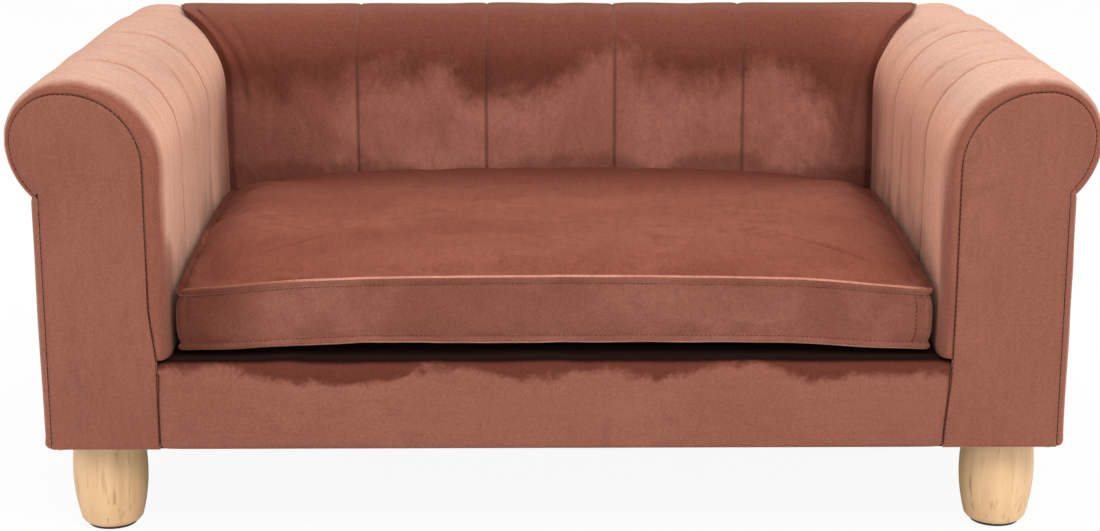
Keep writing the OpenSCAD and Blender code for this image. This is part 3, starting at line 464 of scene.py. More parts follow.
NODE_MATS = {
    "pine": ["front_rail", "rear_rail", "back_top_rail"],
    "pine_y": ["corner_blocks", "back_posts", "seat_slats"],
    "ply": ["seat_deck", "back_board"],
    "card": ["outside_back_card"],
    "zinc": ["hanger_bolts", "t_nuts", "cushion_zip_slider"],
    "nylon": ["leg_glides", "cushion_zip_coil"],
    "tape": ["cushion_zip_tape"],
}
# Nodes that each arm has one of
ARM_NODE_MATS = {
    "pine_y": ["side_rail", "roll_batten", "notch_batten", "seat_batten"],
    "ply": ["front_scroll_board", "rear_scroll_board"],
    "card": ["arm_wrap_card", "side_card"],
}


def paint(node_name, mat):
    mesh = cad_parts[node_name].data
    mesh.materials.clear()
    mesh.materials.append(mat)


for key, names in NODE_MATS.items():
    for n in names + [word + "_" + n for n in ARM_NODE_MATS.get(key, []) for word in WORDS.values()]:
        paint(n, M[key])
for i, n in enumerate(("front_left_leg", "front_right_leg", "rear_left_leg", "rear_right_leg")):
    paint(n, M["leg"][i])


# ------------------------------------------------------------------ cloth
def settle(name, verts, faces, pinned, pressure, grow, cap, frames=18):
    """Swells a cloth skin in mm over its pinned points, and gives where its points end, none moved over cap."""
    mesh = new_mesh(name, verts, faces)
    obj = add_object(name, mesh)
    group = obj.vertex_groups.new(name="pin")
    for i, w in enumerate(pinned):
        if w > 0:
            group.add([i], float(w), "REPLACE")
    mod = obj.modifiers.new("settle", "CLOTH")
    s = mod.settings
    s.quality = 6
    s.mass = 0.25
    s.vertex_group_mass = "pin"
    s.tension_stiffness = s.compression_stiffness = 12
    s.shear_stiffness = 8
    s.bending_stiffness = 0.6
    s.air_damping = 6
    s.use_pressure = True
    s.uniform_pressure_force = pressure
    s.shrink_min = -grow
    s.effector_weights.gravity = 0
    mod.collision_settings.use_collision = False
    mod.collision_settings.use_self_collision = False
    mod.point_cache.frame_start = 1
    mod.point_cache.frame_end = frames
    for f in range(1, frames + 1):
        bpy.context.scene.frame_set(f)
    got = obj.evaluated_get(bpy.context.evaluated_depsgraph_get()).to_mesh()
    out = np.empty(len(verts) * 3)
    got.vertices.foreach_get("co", out)
    out = out.reshape(-1, 3) / MM
    bpy.context.scene.frame_set(1)
    bpy.data.objects.remove(obj)
    bpy.data.meshes.remove(mesh)
    move = out - verts
    size = np.linalg.norm(move, axis=1, keepdims=True)
    return verts + move * np.minimum(1, np.reshape(cap, (-1, 1)) / np.maximum(size, 1e-9))


# ------------------------------------------------------------------ arms
def arm_section():
    """The arm's section as (kind, centre x, radius, angle) from the seat up over the roll to the notch.

    On the face the second value is the share of its height.
    """
    out = [("face", share, 0, 0) for share in np.linspace(0, 1, 36)[:-1]]
    for kind, cx, r, turns in (("arc", ROLL_IN_X, ROLL_IN_R, np.linspace(180, 90, 26)),
                               ("arc", ROLL_OUT_X, ROLL_OUT_R, np.linspace(90, 0, 18)),
                               ("low", ROLL_LOW_X, ROLL_LOW_R, np.linspace(0, -math.degrees(NOTCH), 12)[1:])):
        out += [(kind, cx, r, math.radians(a)) for a in turns]
    return out


SECTION = arm_section()
N_SEC = len(SECTION)


def arm_point(sec, y, e, low_z=COVER_Z):
    """The section's place at y, a distance e inside the arm's outline. The face starts at low_z."""
    kind, cx, r, a = sec
    top = arm_top(y)
    if kind == "face":
        return (SEAT_X + e, y, low_z + (top - ROLL_IN_R - low_z) * cx)
    z = top - (ROLL_IN_R if cx == ROLL_IN_X and kind == "arc" else ROLL_OUT_R)
    return (cx + (r - e) * math.cos(a), y, z + (r - e) * math.sin(a))


def seam_inset(sec, z, side, front=True):
    """How far inside the arm's outline its end seam runs. In front it differs by side, as in the photo."""
    if not front:
        return 8.0
    kind, cx, _, a = sec
    low = 8.1
    inner, top, outer = (12.0, 8.5, 4.6) if side < 0 else (8.6, 8.2, 6.6)
    if kind == "face":
        return low + (inner - low) * float(smooth(z, 120, 165))
    if kind == "arc" and cx == ROLL_IN_X:
        return inner + (top - inner) * (math.pi - a) / (math.pi / 2)
    if kind == "arc":
        return top + (outer - top) * (math.pi / 2 - a) / (math.pi / 2)
    return outer


def end_round(y):
    """Share of the seam's inset that the arm's cover has reached at y, at its front and rear ends."""
    lead = np.clip((y - FRONT - END_GAP) / FRONT_ROUND, 0, 1)
    tail = np.clip((REAR - END_GAP - y) / REAR_ROUND, 0, 1)
    return 1 - np.sqrt(1 - (1 - lead) ** 2), 1 - np.sqrt(1 - (1 - tail) ** 2)


def section_run():
    """How far along the section each of its places is."""
    pts = [arm_point(sec, 0, 0) for sec in SECTION]
    return np.array([0.0] + [math.dist(a, b) for a, b in zip(pts, pts[1:])]).cumsum()


RUN = section_run()


def crease(run, y, line, width, depth):
    """A soft fold along a line of (run, y) points, that fades at both ends."""
    rs = [q[0] for q in line]
    at = np.interp(run, rs, [q[1] for q in line])
    span = rs[-1] - rs[0]
    fade = smooth(run, rs[0], rs[0] + 0.25 * span) * (1 - smooth(run, rs[-1] - 0.3 * span, rs[-1]))
    off = (y - at) / width
    return depth * fade * (np.exp(-off ** 2) - 0.45 * np.exp(-(off - 1.9) ** 2))


# For each side: the line of (run, y) points, its width and its depth
ARM_CREASES = {
    -1: ((((18, -46), (110, -54), (190, -50), (290, -66)), 2.6, 1.3),
         (((15, 46), (60, 38), (120, 54), (170, 44)), 3.2, 1.1),
         (((16, 98), (50, 106), (84, 96)), 2.6, 1.1),
         (((14, 70), (34, 76), (60, 72)), 2.4, 0.9),
         (((180, -20), (240, 4), (300, -2)), 8.0, 0.7),
         (((150, -200), (200, -182), (250, -150)), 7.0, 0.6)),
    1: ((((16, -84), (70, -68), (150, -60), (215, -80)), 4.6, 1.3),
        (((16, -40), (60, -24), (130, -30)), 3.0, 1.2),
        (((14, -2), (40, 8), (80, 2)), 2.6, 1.0),
        (((18, 56), (70, 48), (150, 64), (220, 50)), 3.6, 1.1),
        (((14, 90), (60, 98), (110, 86)), 2.8, 1.2),
        (((170, -66), (230, -30), (285, -44)), 8.0, 1.4),
        (((160, 40), (220, 70), (280, 60)), 8.0, 1.0)),
}


def arm_cover(side):
    """The cover's outer and inner grids. side is 1 on the right and -1 on the left."""
    y0, y1 = FRONT + END_GAP, REAR - END_GAP
    ys = stations(y0, y1, [*ARM_SEAMS, FACE, y0, y1], 2.8)
    seed = 3 if side > 0 else 11
    y = ys[:, None] + np.zeros((1, N_SEC))
    run = RUN[None, :] + np.zeros((len(ys), 1))
    base = np.array([[arm_point(sec, yy, 0) for sec in SECTION] for yy in ys])
    # e is how far the cloth lies inside its fullest outline: more at the seams, behind the back and in creases
    e = 2.0 * near(y, ARM_SEAMS, 1.0) + 1.1 * soft_near(y, ARM_SEAMS, 8)
    e += smooth(y, FACE - 9, FACE) * 3.0
    behind = 1 - 0.75 * smooth(y, FACE - 4, FACE + 4)
    for line, width, depth in ARM_CREASES[side]:
        e += behind * crease(run, y, line, width, depth)
    # Puckers that run out of the cross seams and the front seam
    pleat = noise_at(stack(seed, run, y * 0.1), 0.13, seed + 5)
    e += 0.7 * pleat * np.minimum(1, soft_near(y, ARM_SEAMS, 9))
    off = ys - y0
    pleat = noise_at(stack(seed, run, y * 0.15), 0.16, seed)
    top_part = smooth(run, 130, 175) * (1 - smooth(run, 270, 300))
    e += (0.4 + 1.3 * top_part) * pleat * (np.exp(-off / 8.0) * smooth(off, 0, 4))[:, None]
    e += behind * (0.7 * noise_at(base, 0.017, seed + 2) + 0.3 * noise_at(base * np.array([1, 1, 0.5]), 0.05, seed + 3))
    e = np.clip(e, -0.5, 4.6) * smooth(off, -1, 6)[:, None]
    inset = np.array([[seam_inset(sec, base[0, j, 2], side) for j, sec in enumerate(SECTION)]])
    lead, tail = end_round(ys)
    e = e + (inset - 1.4) * lead[:, None] + 3.6 * tail[:, None]
    skins = []
    for depth in (e, np.maximum(8.0, e + 1.6)):
        grid = np.array([[arm_point(sec, yy, d) for sec, d in zip(SECTION, row)] for yy, row in zip(ys, depth)])
        grid[..., 0] *= side
        skins.append(grid)
    return skins


for side, word in WORDS.items():
    make_skin(word + "_arm_upholstery", *arm_cover(side), "velvet", M["arm", side],
              (word + "_arm_cover", word + "_arm_foam"), 0.75, flip=side > 0)


# ------------------------------------------------------------------ stitches
def resample(points, step):
    """Points a step apart along a line."""
    pts = [Vector(p) for p in points]
    out, left = [pts[0].copy()], step
    for a, b in zip(pts, pts[1:]):
        seg = (b - a).length
        while seg >= left and seg > 0:
            a = a + (b - a) * (left / seg)
            out.append(a.copy())
            seg = (b - a).length
            left = step
        left -= seg
    return out


def stitches(name, lines, body, slot, pitch=3.2, length=2.4, radius=0.24):
    """Short stitches of thread along lines of points in mm."""
    verts, faces = [], []
    rnd = random.Random(name)
    for line in lines:
        pts = resample(line, pitch)
        for a, b in zip(pts, pts[1:]):
            d = (b - a).normalized()
            c = (a + b) / 2
            u = d.orthogonal().normalized()
            w = d.cross(u)
            base = len(verts)
            half = length / 2 * (1 + rnd.uniform(-0.08, 0.08))
            for k, (t, r) in enumerate(((-1, 0.25), (-0.75, 0.85), (0, 1.1), (0.75, 0.85), (1, 0.25))):
                for q in range(6):
                    ang = q * math.pi / 3
                    verts.append(c + d * (t * half) + (u * math.cos(ang) + w * math.sin(ang)) * radius * r)
            for k in range(4):
                for q in range(6):
                    p, s = base + k * 6 + q, base + k * 6 + (q + 1) % 6
                    faces.append((p, s, s + 6, p + 6))
            faces.append(tuple(base + q for q in range(5, -1, -1)))
            faces.append(tuple(base + 24 + q for q in range(6)))
    return make(name, verts, faces, body, slot, M["thread"])


# ------------------------------------------------------------------ arm end panels
def outline(d, y, low_z, side):
    """Closed outline of an arm's end as x, z points, a distance d inside its seam.

    It goes up the inner side, over the roll and down the outside.
    """
    pts = []
    for sec in SECTION:
        z = arm_point(sec, y, 0, low_z)[2]
        p = arm_point(sec, y, seam_inset(sec, z, side, y < 0) + d, low_z)
        pts.append([p[0], p[2]])
    if y < 0:
        for p in pts[:N_SEC // 2]:
            p[0] -= fold(p[1], side)
    x = SIDE_X - 5.0 - d
    top = pts[-1][1]
    if pts[-1][0] > x:
        top = arm_top(y) - ROLL_OUT_R - (x - ROLL_LOW_X) * math.tan(NOTCH) - d * 0.4
    pts += [[x, z] for z in np.linspace(top - 1.0, low_z, 30)]
    x0 = pts[0][0]
    pts += [[x + (x0 - x) * t, low_z] for t in np.linspace(0, 1, 16)[1:-1]]
    return [tuple(p) for p in pts]


def inside(x, z, loop):
    """Whether a point lies within a closed loop of x, z points."""
    hit = False
    for (x1, z1), (x2, z2) in zip(loop, loop[1:] + loop[:1]):
        if (z1 > z) != (z2 > z) and x < (x2 - x1) * (z - z1) / (z2 - z1) + x1:
            hit = not hit
    return hit


def end_panel(side, front):
    """A padded velvet panel on an arm's end, its edge rolled into the seam."""
    y0 = FRONT if front else REAR
    out = -1 if front else 1
    seed = (21 if side > 0 else 27) + (0 if front else 4)
    # Distance inside the seam, and how far the surface stands back from its fullest there
    profile = [(0.0, 3.2), (0.15, 2.2), (0.6, 1.2), (1.4, 0.55), (3.0, 0.18), (6.0, 0.0), (10.0, 0.0)]
    loops = [outline(d, y0, HEM_Z + d * 0.6, side) for d, _ in profile]
    n = len(loops[0])
    verts = [(x * side, y0 - out * 4.0, z) for x, z in loops[0]]
    for loop, (d, back) in zip(loops, profile):
        verts += [(x * side, y0 - out * back, z) for x, z in loop]
    flip = (side > 0) != front
    faces = grid_faces(len(loops) + 1, n, 0, flip, wrap=True)
    # The middle is filled with triangles
    rim = loops[-1]
    xs, zs = [p[0] for p in rim], [p[1] for p in rim]
    core = [(x + (5 if j % 2 else 0), z) for j, z in enumerate(np.arange(min(zs) + 6, max(zs), 8.0))
            for x in np.arange(min(xs) + 6, max(xs), 9.0)]
    small = outline(14.0, y0, HEM_Z + 10, side)
    core = [p for p in core if inside(p[0], p[1], small)]
    flat = [Vector(p) for p in rim + core]
    got, _, tris, origin, _, _ = delaunay_2d_cdt(flat, [(i, (i + 1) % n) for i in range(n)], [], 1, 1e-5)
    last = len(loops) * n
    index = []
    for place, src in zip(got, origin):
        on_rim = [k for k in src if k < n]
        if on_rim:
            index.append(last + on_rim[0])
        else:
            index.append(len(verts))
            verts.append((place[0] * side, y0, place[1]))
    for t in tris:
        a, b, c = (np.array(got[k]) for k in t)
        turn = (b[0] - a[0]) * (c[1] - a[1]) - (b[1] - a[1]) * (c[0] - a[0])
        face = tuple(index[k] for k in (t if turn > 0 else t[::-1]))
        faces.append(face[::-1] if flip else face)
    faces.append(tuple(range(n)) if flip else tuple(range(n))[::-1])
    verts = np.array(verts)
    away = np.ones(len(verts))
    for k, (d, _) in enumerate([(0, 0)] + profile):
        away[k * n:(k + 1) * n] = min(1, d / 8)
    verts[:, 1] += out * (0.55 * noise_at(verts * np.array([1, 0, 1]), 0.018, seed) * away - 0.2)
    word = WORDS[side] + ("_front" if front else "_rear")
    obj = make(word + "_scroll_panel", verts, faces, "sofa", "velvet", M["panel"], (word + "_panel",), fill=0.8)
    bm = bmesh.new()
    bm.from_mesh(obj.data)
    bmesh.ops.triangulate(bm, faces=[fc for fc in bm.faces if len(fc.verts) > 4])
    bmesh.ops.recalc_face_normals(bm, faces=bm.faces)
    bm.to_mesh(obj.data)
    bm.free()
    return obj


for side in WORDS:
    for front in (True, False):
        end_panel(side, front)
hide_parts("arm_front_pads")

lines = []
for side in WORDS:
    seam = [Vector((x * side, FRONT + 1.5, z)) for x, z in outline(0.3, FRONT, HEM_Z + 2, side)[:N_SEC + 30]]
    lines += [seam[:N_SEC], seam[N_SEC + 2:]]
stitches("panel_stitches", lines, "sofa", "velvet", length=2.8, radius=0.26)


# ------------------------------------------------------------------ side covers
def side_cover(side):
    """Velvet round the outside of an arm, from the front seam to the rear one, with its hem under the base."""
    r, gap, lap = 5.0, 0.6, 0.7
    # The plan as (x, y, normal x, normal y): round the front corner, along the side and round the rear corner
    front_y, rear_y = FRONT + gap + r, REAR - gap - r
    plan = [(SIDE_X - r + r * nx, front_y + r * ny, nx, ny) for _, _, ny, nx in arc(0, 0, 1, 180, 90, 7)]
    plan += [(SIDE_X, y, 1.0, 0.0) for y in np.linspace(front_y, rear_y, 62)[1:-1]]
    plan += [(SIDE_X - r + r * nx, rear_y + r * ny, nx, ny) for _, _, ny, nx in arc(0, 0, 1, 90, 0, 7)]
    px, py, nx, ny = np.array(plan).T
    # Its top follows the underside of the arm's roll
    lead, tail = end_round(py)
    e = (seam_inset(SECTION[-1], 0, side) - 1.4) * lead + 3.6 * tail + 3.0 * smooth(py, FACE - 9, FACE)
    top = arm_top(py) - ROLL_OUT_R - np.sqrt((ROLL_LOW_R - e) ** 2 - (px - ROLL_LOW_X) ** 2) + lap
    inwards, up = turn_under(HEM_R, (14, 9, 5), 6)
    share = np.linspace(0, 1, 40)[1:, None]
    foot = stack(px - nx * inwards, py - ny * inwards, UNDER_Z + up)
    outer = np.concatenate([foot, stack(px, py, UNDER_Z + HEM_R + (top - UNDER_Z - HEM_R) * share)])
    seed = 31 if side > 0 else 37
    wave = noise_at(outer, 0.013, seed) * 0.9 + noise_at(outer, 0.03, seed + 1) * 0.3
    weight = np.repeat([0.0, 0.3, 1.0], [3, 6, len(share)])[:, None]
    tuck = np.concatenate([np.zeros((9, 1)), 0.8 * np.maximum(0, (share - 0.97) / 0.03) ** 2])
    outer[..., 0] += ((wave - 0.3) * weight - tuck) * nx
    outer[..., 0] *= side
    normal = grid_normals(outer)
    inner = outer - normal * 1.9 * np.sign(np.mean(normal[..., 0] * side))
    word = WORDS[side]
    make_skin(word + "_outside_velvet", outer, inner, "velvet", M["side"], (word + "_side_cover",), 0.3, flip=side < 0)


for side in WORDS:
    side_cover(side)


# ------------------------------------------------------------------ back
def back_half_w(z, y):
    """Half the back's width: its ends lie along the arms' rolls, which draw in a little at the rear."""
    arc_z = arm_top(FACE) - ROLL_IN_R
    r = ROLL_IN_R - 2.2 - 2.6 * end_round(y)[1]
    dz = np.maximum(z - arc_z, 0)
    return np.where(z < arc_z, BACK_X, ROLL_IN_X - np.sqrt(np.maximum(r * r - dz * dz, 0)))


def back_profile():
    """(y, z, normal y, normal z) from the deck up the face, over the top and down to the rear hem."""
    out = [(FACE, COVER_Z + (BACK_ARC_Z - COVER_Z) * t, -1.0, 0.0) for t in np.linspace(0, 1, 38)[:-1]]
    out += arc(FACE + BACK_FRONT_R, BACK_ARC_Z, BACK_FRONT_R, 180, 90, 22)
    out += arc(BACK_REAR_Y, BACK_REAR_Z, BACK_REAR_R, 90, 0, 9)
    return out + [(REAR, z, 1.0, 0.0) for z in np.linspace(BACK_REAR_Z, BACK_HEM_Z, 4)[1:]]


def back_cover():
    """The back's outer and inner grids: its columns are the profile and its rows run across."""
    folds = np.arange(180, 247, 1.8)
    xs = stations(-SEAT_X, SEAT_X, [*BACK_SEAMS, -SEAT_X, SEAT_X], 5.0, extra=[*folds, *-folds])
    py, pz, ny, nz = np.array(back_profile()).T[:, None, :]
    x0 = xs[:, None] + np.zeros_like(pz)
    end = SEAT_X - np.abs(x0)
    over = smooth(pz, BACK_ARC_Z, BACK_H)
    # e is how far the cloth lies inside its fullest outline: more at the seams, at both ends and in wrinkles
    e = (2.3 * near(x0, BACK_SEAMS, 1.1) + 1.4 * soft_near(x0, BACK_SEAMS, 9)) * (1 - 0.5 * over)
    e = np.minimum(e, 4.6)
    behind = smooth(py, 138, 196)
    e += (3.4 - 2.4 * behind) * (1 - smooth(end, 0, 7))
    e += 3.0 * over * (1 - behind) * (1 - smooth(end, 0, 14)) ** 2
    steps = np.hypot(np.diff(py[0]), np.diff(pz[0]))
    run = np.concatenate([[0.0], np.cumsum(steps)])[None, :] + np.zeros_like(x0)
    # Upright wrinkles in the corners by the arms
    for at, depth, width, lo, hi in ((-237, 1.9, 2.4, 90, 215), (-228, 1.5, 2.2, 120, 190), (-214, 0.9, 2.8, 80, 165),
                                     (238, 1.2, 2.8, 60, 150), (226, 0.8, 2.6, 100, 190)):
        lean = at + 0.03 * (run - 120) * np.sign(at) + 1.5 * np.sin(run / 17 + at)
        e += depth * smooth(run, lo, lo + 30) * (1 - smooth(run, hi - 30, hi)) * np.exp(-((x0 - lean) / width) ** 2)
    # Crush marks on the right channel and above the cushion
    for at_x, at_run, depth in ((196, 112, 1.2), (204, 96, 1.0), (188, 84, 0.9), (210, 70, 0.8), (-100, 62, 0.9),
                                (-20, 58, 0.8), (84, 60, 0.8), (-176, 110, 0.9), (-190, 88, 0.8)):
        u = (x0 - at_x) + 0.5 * (run - at_run)
        w = (run - at_run) - 0.5 * (x0 - at_x)
        e += depth * np.exp(-(u / 3.0) ** 2 - (w / 12.0) ** 2)
    pts = stack(x0, py, pz)
    e += 0.9 * noise_at(pts * np.array([1, 1, 0.4]), 0.02, 41) + 0.35 * noise_at(pts, 0.055, 43)
    pleat = noise_at(pts * np.array([0.1, 1, 1]), 0.085, 47)
    e += 0.7 * pleat * np.minimum(1, soft_near(x0, BACK_SEAMS, 9))
    e = np.maximum(e, -0.4)
    flat = BACK_SEAMS[-1]

    def spread(y, z):
        """The grid at y, z, its end channels stretched or drawn in to the back's width there."""
        wide = (back_half_w(z, y) - flat) / (SEAT_X - flat)
        return stack(np.where(np.abs(x0) <= flat, x0, np.sign(x0) * (flat + (np.abs(x0) - flat) * wide)), y, z)

    # The inner side follows, 8 mm in and 4 mm at the hem
    return spread(py - ny * e, pz - nz * e), spread(py - ny * np.where(ny > 0, 8 - 4 * ny, 8.0), pz - nz * 8.0)


make_skin("back_upholstery", *back_cover(), "back_velvet", M["back"],
          ("back_cover", "back_foam", "back_top_foam"), 0.75)


def outside_back():
    """Plain velvet panel behind, its edges rolled in, with a hem under the base."""
    step_z, r, thick = 243.0, 3.5, 1.8
    zs = np.concatenate([np.linspace(HEM_Z + r, step_z, 44), np.linspace(step_z + 1, BACK_HEM_Z - 0.6, 6)])[:, None]
    # Across it: shares of its width, and how far its edges roll in there
    us = np.concatenate([[0, 0.002, 0.006, 0.014], np.linspace(0.03, 0.97, 60), [0.986, 0.994, 0.998, 1]])
    roll = np.concatenate([[1.7, 0.9, 0.4, 0.1], np.zeros(60), [0.1, 0.4, 0.9, 1.7]])
    inwards, up = turn_under(r, (14, 9, 4), 5)[:, :-1]
    feet = len(up)
    half = BASE_X - 0.2
    foot = stack(-half + 2 * half * us, REAR - inwards - np.repeat([0, 0.5], [3, 4])[:, None] * roll, UNDER_Z + up)
    half = np.where(zs < step_z + 0.5, BASE_X - 0.2, BASE_X - 1.8)
    tuck = 1.6 * np.maximum(0, (zs - BACK_HEM_Z + 4) / 4) ** 2
    outer = np.concatenate([foot, stack(-half + 2 * half * us, REAR - roll - tuck, zs)])
    wave = 0.5 + 0.7 * noise_at(outer, 0.014, 51) + 0.25 * noise_at(outer, 0.035, 53)
    outer[feet:, :, 1] -= 0.7 * wave[feet:]
    inner = outer - np.array([0, thick, 0])
    inner[:feet] = outer[:feet] + np.array([0, 0, thick])
    make_skin("outside_back_velvet", outer, inner, "velvet", M["side"], ("outside_back_cover",), 0.3)


outside_back()


# ------------------------------------------------------------------ base front
def base_front():
    """Velvet over the padded base front, from its tongue on the deck down to the hem under the rail."""
    r, thick = 12.0, 4.4
    prof = [(FRONT + y, SEAT_Z, 0.0, 1.0) for y in np.linspace(45, r, 9)[:-1]]
    prof += arc(FRONT + r, SEAT_Z - r, r, 90, 180, 10)
    prof += [(FRONT, z, -1.0, 0.0) for z in np.linspace(SEAT_Z - r, HEM_Z + HEM_R, 16)[1:]]
    prof += arc(FRONT + HEM_R, HEM_Z + HEM_R, HEM_R, 180, 270, 6)[1:]
    prof += [(FRONT + y, HEM_Z, 0.0, -1.0) for y in (8, 13, 18)]
    half = BASE_X - 0.1
    xs = stations(-half, half, [-half, half], 6.0)
    py, pz, ny, nz = np.array(prof).T[:, :, None]
    x = xs[None, :] + np.zeros_like(pz)
    end = BASE_X - np.abs(x)
    # e is how far the cloth lies inside its fullest outline: more at both ends and where the edge is crushed
    e = 1.9 * np.exp(-end / 1.3) + 0.5 * np.exp(-end / 6)
    pts = stack(x, py, pz)
    face = smooth(pz, HEM_Z, HEM_Z + 8)
    e += (0.35 + 0.9 * noise_at(pts * np.array([0.7, 1, 1]), 0.02, 61) + 0.25 * noise_at(pts, 0.05, 63)) * face * 0.6
    crush = smooth(pz, 96, 116) * (1 - smooth(py, FRONT + 14, FRONT + 30))
    e += crush * (0.9 + 1.3 * noise_at(pts * np.array([1, 0.6, 0.6]), 0.035, 67))
    e = np.clip(e, 0.0, np.where(nz > 0.2, 1.2, 4.0))
    x = x - BASE_SLANT * (1 - smooth(pz, HEM_Z, COVER_Z)) * smooth(x, 150, 258)
    tongue = (nz > 0.99) & (py > FRONT + 13)
    inner = stack(x, py - ny * thick, np.where(tongue, SEAT_Z - 2, pz - nz * thick))
    make_skin("base_front_upholstery", stack(x, py - ny * e, pz - nz * e), inner, "velvet", M["base"],
              ("base_front_cover", "base_front_foam"), 0.7, flip=True)
    stitches("base_seam_stitches", [[Vector((side * (BASE_X + 0.1) - fold(z, side), FRONT + 0.9, z))
                                     for z in np.linspace(118, 68, 20)] for side in WORDS], "sofa", "velvet")


base_front()


# ------------------------------------------------------------------ linings
def lining(name, node_name, x, y0, y1, z, thick):
    """A flat cloth held stretched, from -x to x and y0 to y1."""
    gx, gy = np.meshgrid(np.linspace(-x, x, 64), np.linspace(y0, y1, 42))
    obj = make_skin(name, stack(gx, gy, z + thick), stack(gx, gy, z), "black_cloth", M["cloth"], (node_name,))


lining("deck_cloth", "deck_lining", 258, -169.7, 136, 124.05, 1.7)
lining("under_cloth", "dust_cover", 328, -209, 209, 65.0, 0.45)


# ------------------------------------------------------------------ cushion
CX, CF, CR = 248.5, -203.0, 125.5                # half its width, its front and its rear
CMY, CHD = (CF + CR) / 2, (CR - CF) / 2          # the middle and half of its depth
LOW_Z, TOP_Z, CROWN, CROWN_RUN = 131.0, 172.0, 12.0, 125.0
SIDE_ARCH, FRONT_ARCH = 4.5, 5.2
CORNER_SEAMS = (0.0060, 0.9940)       # the boxing's upright seams, as shares of its front
CORNER_SEAM_X = 242.0 * (2 * CORNER_SEAMS[1] - 1)
ZIP_X, ZIP_FLOOR = 191.0, 117.3       # the slot over the zip: half its length, and how far in it goes
CORNER, FRONT_SIDE, REAR_SIDE = 0, 1, 3


def cushion_ring(inset):
    """Points round the cushion at an inset: x, y, outward normal, how far along its side each is, which side."""
    hx, hy = CX - inset, CHD - inset
    r = min(3.4 + 0.22 * inset, hy * 0.9)
    pts = []

    def corner(sx, sy, start):
        for x, y, nx, ny in arc(0, 0, r, start, start + 90, 7):
            pts.append((sx * (hx - r) + x, CMY + sy * (hy - r) + y, nx, ny, 0.0, CORNER))

    def side(n, x0, y0, x1, y1, nx, ny, kind):
        places = [i / n for i in range(1, n)]
        if kind == FRONT_SIDE:
            places += [q + off for q in CORNER_SEAMS for off in (-0.0042, -0.0022, 0, 0.0022, 0.0042)]
        for t in sorted(places):
            pts.append((x0 + (x1 - x0) * t, CMY + y0 + (y1 - y0) * t, nx, ny, math.sin(math.pi * t), kind))

    corner(-1, -1, 180)
    side(72, -(hx - r), -hy, hx - r, -hy, 0, -1, FRONT_SIDE)
    corner(1, -1, 270)
    side(46, hx, -(hy - r), hx, hy - r, 1, 0, 2)
    corner(1, 1, 0)
    side(72, hx - r, hy, -(hx - r), hy, 0, 1, REAR_SIDE)
    corner(-1, 1, 90)
    side(46, -hx, hy - r, -hx, -(hy - r), -1, 0, 4)
    return np.array(pts)


RING = cushion_ring(0)
ON_FRONT, ON_REAR = RING[:, 5] == FRONT_SIDE, RING[:, 5] == REAR_SIDE


def cushion_level(inset, z, arch, wave=0.0, pull=1.6, rise=0.0, dip=0.0):
    """One ring of the cushion. arch is how far the edge bows up along each side; rise lifts the middle.

    pull draws the sides in between the corners, and dip lowers the front corners.
    """
    x, y, nx, ny, along, _ = cushion_ring(inset).T
    bow = np.maximum(along, 0) ** 0.8
    draw = np.where(ON_REAR, 0.0, pull) * bow
    x, y = x - nx * draw, y - ny * draw
    z = z + arch * bow * np.where(ON_FRONT, FRONT_ARCH, SIDE_ARCH)
    if rise:
        # The top swells quickly behind its back and side seams and slowly behind the front one
        power = 2.2 + np.where(ON_FRONT, 0.0, np.where(RING[:, 5] == CORNER, 1.6, 1.6 + 3.4 * bow ** 0.6))
        z += CROWN * (1 - (1 - rise) ** power)
    # Corners droop, the back ones most
    rear_gap = np.hypot(CX - np.abs(x), CR - y)
    front_gap = np.hypot(CX - np.abs(x), y - CF)
    droop = 11.0 * np.exp(-(rear_gap / 44) ** 1.25) + 3.6 * (1 - smooth(front_gap, 0, 95))
    z -= droop * np.clip((z - LOW_Z) / (TOP_Z - LOW_Z), 0, 1)
    z -= dip * (1 - smooth(front_gap, 0, 115))
    if wave:
        z += wave * (noise_at(stack(x, y, 0.0), 0.020, 81) + 0.5 * noise_at(stack(x, y, 0.0), 0.05, 83))
    return stack(x, y, z)


